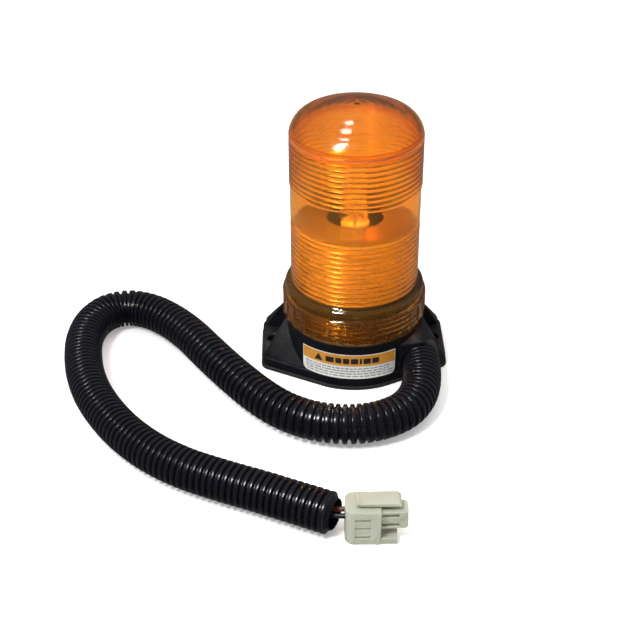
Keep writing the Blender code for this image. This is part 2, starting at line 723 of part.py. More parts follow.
def outer_wires(finishes):
    """Two leads from the end of the loom into the connector."""
    end = Vector((*LOOM_ROUTE[-1], LOOM_HEIGHT))
    heading = (end - Vector((*LOOM_ROUTE[-2], LOOM_HEIGHT))).normalized()
    side = Vector((-heading.y, heading.x, 0))
    rear = Vector(CONNECTOR_REAR)
    for name, offset, finish in (("supply_wire_outer", 2.4, "brown"), ("ground_wire_outer", -2.4, "black")):
        start = end + heading * 0.9 + side * offset
        mouth = rear + Vector((0.2, offset, TERMINAL_HEIGHT))
        inside = rear + Vector((11.4, offset, TERMINAL_HEIGHT))
        points = [start, start.lerp(mouth, 0.5), mouth, inside.lerp(mouth, 0.5), inside]
        tube(name, points, WIRE_RADIUS, finishes[finish], 2)


def connector_outline(length, width, corner):
    """Plan of the housing: rounded at the rear, square at the front."""
    half = width / 2
    return (arc((corner, -half + corner), corner, 180, 270, 5)
            + [(length, -half), (length, half)]
            + arc((corner, half - corner), corner, 90, 180, 5))


def connector(finishes):
    rear = CONNECTOR_REAR
    half = HOUSING_WIDTH / 2
    front = HOUSING_LENGTH
    body = prism_mesh("connector_housing", connector_outline(front, HOUSING_WIDTH, 4.4), 0, HOUSING_HEIGHT)
    housing = place("connector_housing", body, finishes["nylon"], rear)
    join(housing, box_mesh("housing_shelf", (front - 2, -half + 0.2, 0), (SHELF_LENGTH, half - 0.2, 3.2)))
    join(housing, box_mesh("housing_rib", (front - 1.8, -half - 0.4, 0.3),
                           (front - 0.4, half + 0.4, HOUSING_HEIGHT - 0.4)))
    for number, height in enumerate((3.6, 8.4, 14.4)):
        for side in (1, -1):
            low_y, high_y = sorted((side * (half - 0.7), side * (half + 2)))
            groove = box_mesh(f"groove_{number}_{side}", (4.4, low_y, height), (11.4, high_y, height + 1.2))
            cut(housing, groove)
    cut(housing, box_mesh("nose_pocket", (12.6, -5.4, 6.6), (front + 1, 4.2, HOUSING_HEIGHT - 1.2)))
    for offset in (2.4, -2.4):
        start, end = (-1, offset, TERMINAL_HEIGHT), (13.5, offset, TERMINAL_HEIGHT)
        cut(housing, lying_drum_mesh(f"rear_bore_{offset:.0f}", WIRE_RADIUS + 0.8, start, end, 12))
    connector_nose(rear, finishes)
    connector_latch(rear, finishes)
    for number, offset in enumerate((2.4, -2.4), start=1):
        start, end = (11.8, offset, TERMINAL_HEIGHT), (NOSE_LENGTH - 1.5, offset, TERMINAL_HEIGHT)
        pin = lying_drum_mesh(f"terminal_{number}", 1.0, start, end, 12)
        place(f"terminal_{number}", pin, finishes["brass"], rear)


def connector_nose(rear, finishes):
    """Inner block with two side windows and a bore for each terminal."""
    outline = [(13.0, -5.0), (NOSE_LENGTH - 1.8, -5.0), (NOSE_LENGTH - 0.5, -4.5), (NOSE_LENGTH, -3.2),
               (NOSE_LENGTH, 2.0), (NOSE_LENGTH - 0.5, 3.3), (NOSE_LENGTH - 1.8, 3.8), (13.0, 3.8)]
    nose = place("connector_nose", prism_mesh("connector_nose", outline, 7.0, 16.2), finishes["nylon"], rear)
    for height in (8.0, 13.4):
        window = (HOUSING_LENGTH + 0.4, -6.0, height), (24.6, -4.1, height + 2.0)
        cut(nose, box_mesh(f"nose_window_{height:.0f}", *window))
    for offset in (2.4, -2.4):
        low = (12, offset - 1.35, TERMINAL_HEIGHT - 1.35)
        high = (NOSE_LENGTH + 1, offset + 1.35, TERMINAL_HEIGHT + 1.35)
        cut(nose, box_mesh(f"nose_bore_{offset:.0f}", low, high))
    return nose


def connector_latch(rear, finishes):
    """Rocking lever on top of the housing, with its grip at the rear and its hook in front."""
    pivot = (rear[0] + LATCH_PIVOT, rear[1], rear[2] + HOUSING_HEIGHT + 0.9)
    profile = [(LATCH_START, 1.4), (LATCH_START + 0.3, 0.2), (LATCH_START + 2.4, -0.2),
               (LATCH_PIVOT - 1.5, -0.2), (LATCH_PIVOT - 1.2, -0.6), (LATCH_PIVOT + 1.2, -0.6),
               (LATCH_PIVOT + 1.5, -0.2), (LATCH_END, -0.2), (LATCH_END - 1.4, 1.6), (LATCH_START + 1.8, 1.6)]
    bm = bmesh.new()
    near, far = [], []
    for x, z in profile:
        near.append(bm.verts.new(((x - LATCH_PIVOT) * MM, -4.0 * MM, z * MM)))
        far.append(bm.verts.new(((x - LATCH_PIVOT) * MM, 5.0 * MM, z * MM)))
    bm.faces.new(near)
    bm.faces.new(far)
    for i in range(len(profile)):
        j = (i + 1) % len(profile)
        bm.faces.new((near[i], near[j], far[j], far[i]))
    return place("connector_latch", finish_mesh("connector_latch", bm), finishes["nylon"], pivot)


# --------------------------------------------------------------- assembly

def build():
    clear_scene()
    finishes = {
        "amber": material("amber_lens", (0.85, 0.32, 0.03), 0.12),
        "black": material("black_plastic", (0.015, 0.016, 0.02), 0.45),
        "rubber": material("rubber", (0.02, 0.02, 0.02), 0.8),
        "steel": material("zinc_steel", (0.6, 0.6, 0.62), 0.3, 1.0),
        "paper": material("label_film", (0.9, 0.9, 0.86), 0.4),
        "mirror": material("polished_aluminium", (0.85, 0.85, 0.86), 0.12, 1.0),
        "aluminium": material("aluminium", (0.7, 0.7, 0.72), 0.4, 1.0),
        "white": material("white_plastic", (0.8, 0.8, 0.78), 0.5),
        "glass": material("tube_glass", (0.9, 0.93, 0.95), 0.05),
        "ceramic": material("ceramic", (0.75, 0.72, 0.66), 0.6),
        "board": material("circuit_board", (0.03, 0.18, 0.07), 0.45),
        "sleeve": material("black_sleeve", (0.03, 0.03, 0.035), 0.35),
        "ferrite": material("ferrite", (0.05, 0.05, 0.055), 0.6),
        "copper": material("copper_winding", (0.65, 0.25, 0.1), 0.35, 1.0),
        "film": material("film_capacitor", (0.55, 0.12, 0.03), 0.4),
        "resistor": material("resistor", (0.62, 0.5, 0.33), 0.5),
        "brown": material("brown_wire", (0.22, 0.09, 0.04), 0.45),
        "nylon": material("white_nylon", (0.7, 0.73, 0.6), 0.4),
        "brass": material("brass", (0.75, 0.55, 0.22), 0.25, 1.0),
    }
    base_housing(finishes["black"])
    mounting_pad(finishes["rubber"])
    bottom_plate(finishes["black"])
    low, top = PAD_THICKNESS + 2 * GAP, BOARD_BOTTOM + BOARD_THICKNESS + GAP
    for number, angle in enumerate(BOSS_ANGLES, start=1):
        screw(f"plate_screw_{number}", angle, low - GAP, 11.0, finishes["steel"], upward=True)
        screw(f"board_screw_{number}", angle, top, 17.0, finishes["steel"], upward=False)
    label(finishes["paper"])
    lens(finishes["amber"])
    lens_seal(finishes["rubber"])
    reflector(finishes["mirror"])
    shroud(finishes["white"])
    flash_tube(finishes["glass"])
    tube_base(finishes["ceramic"])
    tube_post(finishes["white"])
    electrode_leads(finishes["steel"])
    circuit_board(finishes["board"])
    board_parts(finishes)
    trigger_wire(finishes["steel"])
    grommet(finishes["rubber"])
    inner_wires(finishes)
    loom(finishes["black"])
    outer_wires(finishes)
    connector(finishes)


build()
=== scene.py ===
"""Looks of the amber flash beacon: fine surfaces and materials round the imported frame.

Lengths are in millimetres and become metres as meshes are made. The origin is on the
lens's axis, on the surface that the beacon stands on, with +Z up and the lead towards -Y.
"""

import bisect
import math
import random

import bmesh
import bpy
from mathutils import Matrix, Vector


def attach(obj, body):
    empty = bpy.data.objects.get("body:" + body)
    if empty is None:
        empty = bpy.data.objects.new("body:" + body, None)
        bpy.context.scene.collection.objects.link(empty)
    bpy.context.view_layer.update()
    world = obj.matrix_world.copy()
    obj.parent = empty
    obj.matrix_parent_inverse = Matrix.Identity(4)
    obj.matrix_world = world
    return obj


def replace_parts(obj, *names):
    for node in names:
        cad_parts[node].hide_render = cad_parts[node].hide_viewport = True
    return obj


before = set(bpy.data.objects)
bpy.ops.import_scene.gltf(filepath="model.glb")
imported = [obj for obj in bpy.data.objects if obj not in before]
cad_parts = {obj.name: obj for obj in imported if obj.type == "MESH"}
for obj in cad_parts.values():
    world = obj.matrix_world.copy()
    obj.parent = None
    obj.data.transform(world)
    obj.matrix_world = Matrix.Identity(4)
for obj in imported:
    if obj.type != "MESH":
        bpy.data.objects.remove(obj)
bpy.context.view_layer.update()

MM = 0.001

# Lead: the loom's route, on the surface, from the port in the base to the connector
LOOM_RADIUS = 10.0
LOOM_HEIGHT = 10.2
LOOM_BACK = 38.2                # the ridges are worn flat past here
LOOM_ROUTE = [
    (34.2, -22.9), (34.3, -33.0), (33.0, -46.5), (29.5, -58.8), (22.5, -69.6),
    (11.5, -77.0), (-1.8, -80.2), (-15.2, -79.2), (-27.8, -74.7), (-39.6, -66.4),
    (-50.3, -54.9), (-60.0, -42.0), (-69.2, -28.6), (-78.2, -14.6), (-87.4, 0.0),
    (-98.2, 13.6), (-110.4, 24.2), (-123.2, 28.6), (-134.6, 24.4), (-141.6, 13.2),
    (-144.0, -1.4), (-143.0, -17.0), (-139.6, -34.6), (-133.6, -52.4), (-124.8, -69.6),
    (-113.4, -86.2), (-99.2, -101.2), (-83.4, -112.9), (-66.2, -121.9), (-48.4, -130.1),
    (-30.6, -138.8), (-13.4, -147.2),
]
RIDGE_PITCH = [                 # (distance along the route, pitch there)
    (0, 3.0), (40, 3.3), (80, 3.9), (190, 3.9), (250, 3.4), (310, 3.1), (370, 3.2), (520, 3.3),
]
RIDGE = [                       # (share of the pitch, share of the ridge's height)
    (0.0, 0.0), (0.10, 0.45), (0.14, 0.82), (0.19, 0.96), (0.26, 1.0), (0.42, 1.0), (0.58, 1.0),
    (0.65, 0.96), (0.70, 0.82), (0.74, 0.45), (0.84, 0.0),
]
GROOVE_RADIUS = 8.3
SLIT_RADIUS = 7.7
LOOM_BORE = 7.3
SLIT_ANGLE = [(0, 150), (200, 150), (330, 100), (520, 80)]      # from the top, over to the route's left

# Base
LOW = 2.1                       # underside of the housing, just over the pad
PAD_TOP = 1.8
FLANGE_TOP = 6.5
BODY_TOP = 26.5
NECK_TOP = 42.3
NECK_RADIUS = 33.4              # at the thread's root
BODY_RADIUS = 36.6
CAVITY_RADIUS = 31.0
LIP_RADIUS = 37.5
LIP_INSET = 0.6
EAR_HALF_WIDTH = 49.4
EAR_FRONT = -18.4
EAR_BACK = 23.4
EAR_CORNER = 6.0
EAR_HOLE = (43.0, 3.0)
EAR_HOLE_RADIUS = 3.4
RIDGE_HEIGHT = 9.0
PORT_RADIUS = 10.4
PORT_END = -14.0
PORT_WALL_TOP = 22.2

# Right-handed thread between base and lens
THREAD_PITCH = 3.0
THREAD_DEPTH = 0.6
THREAD_CLEARANCE = 0.6
NECK_THREAD_RADIUS = 34.0
THREAD_LOW = 28.6
THREAD_HIGH = 40.6

# Lens
SKIRT_RADIUS = 37.6
SKIRT_BOTTOM = 27.3
FLUTES = 30
FLUTE_DEPTH = 0.6
FLUTE_START = math.radians(7.6)
LENS_SHOULDER = 128.0
SHOULDER_FILLET = 12.0
DOME_TOP = 144.5
DOME_THICKNESS = 2.2
NIB_TOP = 146.0
RIB_PITCH = 2.8
UPPER_RIBS = (103.2, 10)        # lowest rib's foot, and how many
LOWER_RIBS = (47.2, 12)
RIB_VALLEY = 31.7               # inner radius between two ribs
RIB_CREST = 30.9
WINDOW_BORE = 31.0
WINDOW_RADIUS = 33.1            # outside, also of the lower wall
UPPER_RADIUS = 33.6
STEP_HEIGHT = 101.6             # where the wall widens above the window
SKIRT_SHOULDER = [(37.6, 39.6), (37.56, 40.1), (37.42, 40.55), (37.15, 40.9), (36.8, 41.1), (36.55, 41.1)]
LENS_FOOT = [                   # ring between the skirt and the lower ribs
    (36.4, 41.2), (36.32, 41.5), (36.3, 42.4), (36.2, 42.6), (36.2, 44.4), (36.14, 44.9),
    (35.95, 45.35), (35.65, 45.7), (35.25, 45.9), (34.8, 45.95), (34.3, 46.0), (33.85, 46.2),
    (33.5, 46.6), (33.25, 47.1),
]
SEAT = 44.3                     # where the seal presses
SKIRT_BORE = 35.2
SEAL_LIP = 46.9


# ---- shape helpers

def mesh_from(name, bm, sharp=35):
    bmesh.ops.recalc_face_normals(bm, faces=bm.faces)
    if bm.calc_volume(signed=True) < 0:
        bmesh.ops.reverse_faces(bm, faces=bm.faces)
    mesh = bpy.data.meshes.new(name)
    bm.to_mesh(mesh)
    bm.free()
    mesh.shade_smooth()
    mesh.set_sharp_from_angle(angle=math.radians(sharp))
    return mesh


def place(name, mesh, finish=None, origin=(0, 0, 0)):
    """A new object with its origin at a place in mm."""
    made = bpy.data.objects.new(name, mesh)
    made.location = Vector(origin) * MM
    bpy.context.scene.collection.objects.link(made)
    if finish:
        mesh.materials.append(finish)
    return made


def crisp(made):
    """Smooth shading, with the edges of a cut shape kept sharp."""
    made.data.shade_smooth()
    made.data.set_sharp_from_angle(angle=math.radians(32))
    return made


def walls(bm, loops):
    """Rings of faces between neighbouring loops of as many points."""
    for first, second in zip(loops, loops[1:]):
        for i in range(len(first)):
            j = (i + 1) % len(first)
            bm.faces.new((first[i], first[j], second[j], second[i]))


def caps(bm, loops):
    """A face over the first loop and one over the last."""
    bm.faces.new(loops[0][::-1])
    bm.faces.new(loops[-1])


def loop_of(bm, points):
    """The vertices of a loop of points in mm."""
    return [bm.verts.new((x * MM, y * MM, z * MM)) for x, y, z in points]


def steps(start, end, count):
    """Evenly spaced values from start to end, both included."""
    return [start + (end - start) * i / count for i in range(count + 1)]


def read(points, at):
    """Value at a place along a list of (place, value), with straight lines between them."""
    for (a, low), (b, high) in zip(points, points[1:]):
        if at <= b:
            return low + (high - low) * max(0.0, at - a) / (b - a)
    return points[-1][1]


def even_angles(count):
    return [2 * math.pi * i / count for i in range(count)]


def turned_mesh(name, rows, angles, centre=(0, 0), sharp=35):
    """Turn rows about a vertical line. A row is (radius, height) or a function of the angle.

    A row of radius 0 is a pole. Rows with no pole at an end close as a ring.
    """
    bm = bmesh.new()
    loops = []
    for row in rows:
        pole = not callable(row) and row[0] == 0
        points = []
        for angle in angles[:1] if pole else angles:
            radius, height = row(angle) if callable(row) else row
            points.append((centre[0] + radius * math.cos(angle), centre[1] + radius * math.sin(angle),
                           height))
        loops.append(loop_of(bm, points))
    pairs = list(zip(loops, loops[1:]))
    if len(loops[0]) > 1 or len(loops[-1]) > 1:
        pairs.append((loops[-1], loops[0]))
    for first, second in pairs:
        if len(first) + len(second) == 2:
            continue
        for i in range(len(angles)):
            j = (i + 1) % len(angles)
            corners = [first[i % len(first)], first[j % len(first)],
                       second[j % len(second)], second[i % len(second)]]
            bm.faces.new(list(dict.fromkeys(corners)))
    return mesh_from(name, bm, sharp)


def rounded_rows(inner, outer, low, high, edge):
    """Rows of an upright ring with its outer edges rounded."""
    return [(inner, low), (outer - edge, low), (outer - 0.3 * edge, low + 0.3 * edge),
            (outer, low + edge), (outer, high - edge), (outer - 0.3 * edge, high - 0.3 * edge),
            (outer - edge, high), (inner, high)]


def arc(centre, radius, start, end, count):
    angles = [math.radians(turn) for turn in steps(start, end, count)]
    return [(centre[0] + radius * math.cos(angle), centre[1] + radius * math.sin(angle)) for angle in angles]


def hull_bmesh(points):
    bm = bmesh.new()
    for point in points:
        bm.verts.new(Vector(point) * MM)
    result = bmesh.ops.convex_hull(bm, input=bm.verts)
    spare = {v for v in result["geom_interior"] if isinstance(v, bmesh.types.BMVert)}
    bmesh.ops.delete(bm, geom=list(spare), context="VERTS")
    bmesh.ops.dissolve_limit(bm, angle_limit=math.radians(2), verts=bm.verts, edges=bm.edges)
    return bm


def soft_edges(bm, width, segments=3, over=25):
    """Round the edges of a solid that turn by more than an angle."""
    bm.normal_update()
    edges = [e for e in bm.edges if e.is_manifold and e.calc_face_angle(0) > math.radians(over)]
    bmesh.ops.bevel(bm, geom=edges, offset=width * MM, segments=segments, profile=0.5, affect="EDGES",
                    clamp_overlap=True)
    return bm


def prism_bmesh(outline, low, high):
    bm = bmesh.new()
    loops = [loop_of(bm, [(x, y, z) for x, y in outline]) for z in (low, high)]
    caps(bm, loops)
    walls(bm, loops)
    bmesh.ops.recalc_face_normals(bm, faces=bm.faces)
    return bm


def box_bmesh(low, high):
    outline = [(low[0], low[1]), (high[0], low[1]), (high[0], high[1]), (low[0], high[1])]
    return prism_bmesh(outline, low[2], high[2])


def bar_bmesh(radius, start, end, segments):
    """Round bar between two points."""
    axis = Vector(end) - Vector(start)
    bm = bmesh.new()
    bmesh.ops.create_cone(bm, cap_ends=True, segments=segments, radius1=radius * MM,
                          radius2=radius * MM, depth=axis.length * MM)
    turn = axis.to_track_quat("Z", "Y").to_matrix().to_4x4()
    bmesh.ops.transform(bm, matrix=turn, verts=bm.verts)
    middle = (Vector(start) + Vector(end)) * 0.5 * MM
    bmesh.ops.translate(bm, vec=middle, verts=bm.verts)
    return bm


def combine(target, shape, operation):
    """Join a shape, a mesh or a bmesh, to an object for good, or cut it away."""
    mesh = shape if isinstance(shape, bpy.types.Mesh) else mesh_from("tool", shape)
    tool = place("tool", mesh, None, target.location / MM)
    step = target.modifiers.new("step", "BOOLEAN")
    step.operation = operation
    step.solver = "EXACT"
    step.object = tool
    graph = bpy.context.evaluated_depsgraph_get()
    made = bpy.data.meshes.new_from_object(target.evaluated_get(graph))
    target.modifiers.remove(step)
    target.data = made
    bpy.data.objects.remove(tool)


def join(target, shape):
    combine(target, shape, "UNION")


def cut(target, shape):
    combine(target, shape, "DIFFERENCE")


def flange_outline(inset):
    """Round body blended by straight sides into the two ears."""
    points = arc((0, 0), LIP_RADIUS - inset, 0, 360, 144)[:-1]
    corner_x = EAR_HALF_WIDTH - EAR_CORNER
    for corner_y in (EAR_FRONT + EAR_CORNER, EAR_BACK - EAR_CORNER):
        for side in (1, -1):
            points += arc((side * corner_x, corner_y), EAR_CORNER - inset, 0, 360, 40)[:-1]
    ordered = sorted({(round(x, 6), round(y, 6)) for x, y in points})

    def chain(path):
        kept = []
        for p in path:
            while len(kept) > 1 and turn_side(kept[-2], kept[-1], p) <= 1e-9:
                kept.pop()
            kept.append(p)
        return kept[:-1]

    return chain(ordered) + chain(ordered[::-1])


def turn_side(a, b, c):
    return (b[0] - a[0]) * (c[1] - a[1]) - (b[1] - a[1]) * (c[0] - a[0])


def shrink(outline, by):
    """Move the points of a convex outline inwards."""
    moved = []
    for before, here, after in zip(outline[-1:] + outline[:-1], outline, outline[1:] + outline[:1]):
        along = (Vector(after) - Vector(before)).normalized()
        moved.append((here[0] - along.y * by, here[1] + along.x * by))
    return moved


def plate_bmesh(outline, low, high, edge):
    """Flat plate with a rounded upper edge."""
    bm = bmesh.new()
    rows = ((0, low), (0, high - edge), (0.08 * edge, high - 0.6 * edge), (0.3 * edge, high - 0.3 * edge),
            (0.6 * edge, high - 0.08 * edge), (edge, high))
    loops = [loop_of(bm, [(x, y, height) for x, y in shrink(outline, inset)]) for inset, height in rows]
    caps(bm, loops)
    walls(bm, loops)
    return bm


# ---- material helpers

class Tree:
    """A node tree, with short ways to add what the finishes need."""

    def __init__(self, owner):
        owner.use_nodes = True
        self.nodes, self.links = owner.node_tree.nodes, owner.node_tree.links

    def feed(self, socket, value):
        """Link an output to a socket, or give the socket a plain value."""
        if isinstance(value, bpy.types.NodeSocket):
            self.links.new(value, socket)
        elif socket.type == "RGBA":
            socket.default_value = (*value, 1)
        else:
            socket.default_value = value

    def add(self, kind, inputs=None, **settings):
        """A new node with its settings made and its inputs fed."""
        made = self.nodes.new("ShaderNode" + kind)
        for key, value in settings.items():
            setattr(made, key, value)
        for key, value in (inputs or {}).items():
            self.feed(made.inputs[key], value)
        return made

    def noise(self, scale, detail=4.0, roughness=0.55, distortion=0.0, stretch=None):
        """Noise laid out in the object's own metres; stretch scales each axis first."""
        where = self.add("TexCoord").outputs["Object"]
        if stretch:
            where = self.add("Mapping", {"Scale": stretch, "Vector": where}).outputs["Vector"]
        return self.add("TexNoise", {"Scale": scale, "Detail": detail, "Roughness": roughness,
                                     "Distortion": distortion, "Vector": where}).outputs["Fac"]

    def ramp(self, source, *stops):
        """Colour ramp from stops of (place, colour), or of (place, value) for a grey."""
        made = self.add("ValToRGB", {"Fac": source})
        band = made.color_ramp
        while len(band.elements) < len(stops):
            band.elements.new(0.5)
        for element, (at, colour) in zip(band.elements, stops):
            element.position = at
            element.color = (*colour, 1) if isinstance(colour, tuple) else (colour, colour, colour, 1)
        return made.outputs["Color"]

    def bump(self, height, strength, depth, normal=None):
        """Bump of a depth in mm, on top of another normal if there is one."""
        made = self.add("Bump", {"Strength": strength, "Distance": depth * MM, "Height": height})
        if normal is not None:
            self.feed(made.inputs["Normal"], normal)
        return made.outputs["Normal"]

    def mix(self, share, first, second):
        made = self.add("Mix", {"Factor": share}, data_type="RGBA")
        for socket in made.inputs:
            if socket.type == "RGBA":
                self.feed(socket, {"A": first, "B": second}[socket.name])
        return next(socket for socket in made.outputs if socket.type == "RGBA")

    def maths(self, operation, first, second):
        return self.add("Math", {0: first, 1: second}, operation=operation).outputs[0]


class Finish(Tree):
    """A new material; surface() feeds its shader and gives the material back."""

    def __init__(self, name):
        self.material = bpy.data.materials.new(name)
        super().__init__(self.material)
        self.shader = self.nodes["Principled BSDF"]

    def surface(self, inputs):
        for key, value in inputs.items():
            self.feed(self.shader.inputs[key], value)
        return self.material


def plastic(name, colour, tint, roughness, grain=900, grain_depth=0.02):
    """Moulded plastic: slow colour and gloss drift, and a fine grain in the surface."""
    made = Finish(name)
    drift = made.noise(35, 3)
    return made.surface({
        "Base Color": made.ramp(drift, (0.3, colour), (0.72, tint)),
        "Roughness": made.ramp(drift, (0.25, roughness - 0.06), (0.8, roughness + 0.12)),
        "Normal": made.bump(made.noise(grain, 3), 0.5, grain_depth),
    })


def metal(name, colour, tint, roughness, stretch=(1, 1, 1)):
    """Bare metal with fine drawn or turned marks."""
    made = Finish(name)
    marks = made.noise(1200, 4, stretch=stretch)
    return made.surface({
        "Metallic": 1.0,
        "Base Color": made.ramp(made.noise(60, 3), (0.3, colour), (0.75, tint)),
        "Roughness": made.ramp(marks, (0.2, roughness * 0.7), (0.85, roughness * 1.5)),
        "Normal": made.bump(marks, 0.35, 0.01),
    })


# ---- camera

def make_camera():
    data = bpy.data.cameras.new("camera")
    data.sensor_width = 36.0
    data.lens = 75.94
    data.clip_start = 0.01
    made = bpy.data.objects.new("camera", data)
    made.location = (-0.02828, -0.60892, 0.40956)
    made.rotation_euler = (math.radians(57.361), 0, math.radians(-0.970))
    bpy.context.scene.collection.objects.link(made)
    bpy.context.scene.camera = made


# ---- lead

class Route:
    """A smooth curve through the route's points, read by distance along it, in mm."""

    def __init__(self, points, height):
        points = [Vector((x, y, height)) for x, y in points]
        held = [points[0] * 2 - points[1], *points, points[-1] * 2 - points[-2]]
        self.fine = []
        for a, b, c, d in zip(held, held[1:], held[2:], held[3:]):
            for i in range(60):
                t = i / 60
                self.fine.append(0.5 * (2 * b + (c - a) * t + (2 * a - 5 * b + 4 * c - d) * t ** 2
                                        + (3 * b - a - 3 * c + d) * t ** 3))
        self.fine.append(points[-1])
        self.along = [0.0]
        for p, q in zip(self.fine, self.fine[1:]):
            self.along.append(self.along[-1] + (q - p).length)
        self.length = self.along[-1]

    def at(self, distance):
        i = bisect.bisect_right(self.along, min(max(distance, 0.0), self.length)) - 1
        i = min(i, len(self.fine) - 2)
        step = self.along[i + 1] - self.along[i]
        return self.fine[i].lerp(self.fine[i + 1], (distance - self.along[i]) / step)

    def side(self, distance):
        """Level direction to the left of the route."""
        ahead = self.at(min(distance + 3, self.length)) - self.at(max(distance - 3, 0))
        return Vector((-ahead.y, ahead.x, 0)).normalized()


def outward(side, turn):
    """Direction out of a level lead, at a turn from the top over to its left side."""
    return Vector((0, 0, 1)) * math.cos(turn) + side * math.sin(turn)


def loom_mesh(name, route):
    """Split corrugated tube: flat-topped ridges, narrow grooves, and a slit along one side.

    The grooves sink beside the slit, and one of its lips lies a little deeper than the other.
    """
    slit_lip = 0.04
    around = [0.0] + [slit_lip + (2 * math.pi - 2 * slit_lip) * i / 40 for i in range(41)]
    bm = bmesh.new()
    centres = []
    loops = []

    def ring(distance, share):
        centre = route.at(distance)
        side = route.side(distance)
        slit = math.radians(read(SLIT_ANGLE, distance))
        loop = []
        for angle in around:
            off = min(angle, 2 * math.pi - angle)
            groove = GROOVE_RADIUS - 1.2 * math.exp(-(off / 0.4) ** 2)
            radius = SLIT_RADIUS if off < slit_lip / 2 else groove + (LOOM_RADIUS - groove) * share
            radius -= 0.35 * math.exp(-(off / 0.5) ** 2) * (angle > math.pi)
            point = centre + outward(side, slit + angle) * radius
            point.y = min(point.y, LOOM_BACK)
            loop.append(bm.verts.new(point * MM))
        centres.append(centre * MM)
        loops.append(loop)

    start = 0.0
    while start < route.length - 2.0:
        pitch = read(RIDGE_PITCH, start)
        for place_in, share in RIDGE:
            if start + place_in * pitch <= route.length:
                ring(start + place_in * pitch, share)
        start += pitch
    path = [tuple(c) for c in centres]
    for distance in (route.length - 0.2, route.length - 6, route.length - 14):
        centre, side = route.at(distance), route.side(distance)
        slit = math.radians(read(SLIT_ANGLE, distance))
        loops.append([bm.verts.new((centre + outward(side, slit + angle) * LOOM_BORE) * MM)
                      for angle in around])
    walls(bm, loops)
    caps(bm, loops)
    return mesh_from(name, bm, 50), path


def tube_curve(name, points, radius, finish, resolution=4):
    """A round lead along points in mm."""
    curve = bpy.data.curves.new(name, "CURVE")
    curve.dimensions = "3D"
    curve.bevel_depth = radius * MM
    curve.bevel_resolution = resolution
    curve.use_fill_caps = True
    spline = curve.splines.new("POLY")
    spline.points.add(len(points) - 1)
    for knot, point in zip(spline.points, points):
        knot.co = (*(Vector(point) * MM), 1.0)
    spline.use_smooth = True
    made = bpy.data.objects.new(name, curve)
    bpy.context.scene.collection.objects.link(made)
    curve.materials.append(finish)
    return made


# ---- lens

def lens_angles():
    """Angles round the lens, closer together at the edges of each grip flute."""
    shares = (0.0, 0.03, 0.065, 0.1, 0.25, 0.42, 0.58, 0.75, 0.9, 0.935, 0.97)
    return [FLUTE_START + 2 * math.pi * (i + share) / FLUTES for i in range(FLUTES) for share in shares]


def flute(angle):
    """0 on the narrow ridge between two flutes, 1 across a flute."""
    share = ((angle - FLUTE_START) * FLUTES / (2 * math.pi)) % 1.0
    off = min(share, 1 - share)
    t = min(1.0, max(0.0, (off - 0.02) / 0.08))
    return t * t * (3 - 2 * t) * (0.63 + 0.37 * (1 - (1 - 2 * off) ** 2))


def thread_radius(mean, root, height, angle):
    """Radius of the right-handed thread, which runs out into its root at both ends."""
    fade = min(1.0, max(0.0, min(height - THREAD_LOW, THREAD_HIGH - height) / 2))
    wave = math.cos(2 * math.pi * (height / THREAD_PITCH - angle / (2 * math.pi)))
    return mean + THREAD_DEPTH * (fade * wave + (1 - fade) * root)


def thread_rows(mean, root):
    """Rows of the thread from its lowest to its highest turn."""
    rows = []
    for height in steps(THREAD_LOW, THREAD_HIGH, 24):
        rows.append(lambda angle, height=height: (thread_radius(mean, root, height, angle), height))
    return rows


def dome_rows(radius, shoulder, fillet, top, count=26):
    """Rows of a dome that blends into its wall, from the wall to just short of the pole."""
    flat, drop = radius - fillet, top - shoulder
    sphere = (flat ** 2 + drop ** 2 - fillet ** 2) / (2 * (drop - fillet))
    slope = math.atan2(flat, sphere - drop)
    rows = []
    for i in range(8):
        angle = (math.pi / 2 - slope) * i / 8
        rows.append((flat + fillet * math.cos(angle), shoulder + fillet * math.sin(angle)))
    for i in range(count):
        angle = slope * (1 - i / count)
        rows.append((sphere * math.sin(angle), top - sphere * (1 - math.cos(angle))))
    return rows


def rib_rows(first, count):
    """Inner wall of a stack of half-round ribs, from the top one down."""
    rows = []
    shares = (1.0, 0.95, 0.88, 0.79, 0.68, 0.56, 0.44, 0.32, 0.21, 0.12, 0.05)
    for i in reversed(range(count)):
        for share in shares:
            rise = math.sqrt(max(0.0, 1 - (2 * share - 1) ** 2))
            rows.append((RIB_VALLEY - (RIB_VALLEY - RIB_CREST) * rise, first + (i + share) * RIB_PITCH))
    rows.append((RIB_VALLEY, first))
    return rows


def wavy_wall(radius, low, high, depth):
    """Outer wall that sinks slightly behind each rib."""
    return [(radius + depth * math.cos(2 * math.pi * (height - low) / RIB_PITCH), height)
            for height in steps(low, high, round((high - low) / (RIB_PITCH / 6)))]


def inner_dome_relief(radius):
    """How far the dome's inner face stands down: a thicker middle with shallow rings on it."""
    edge = min(1.0, max(0.0, (27.0 - radius) / 4.0))
    rings = 0.014 * (1 - math.cos(2 * math.pi * (radius - 4) / 4.2)) if 4 < radius < 25 else 0.0
    return 0.3 * edge * edge * (3 - 2 * edge) + rings


def skirt_row(radius, height, cut_in=1.0, fall=0.0):
    """A row round the skirt, which the grip flutes cut into and round off."""
    return lambda a: (radius - cut_in * FLUTE_DEPTH * flute(a), height + fall * flute(a))


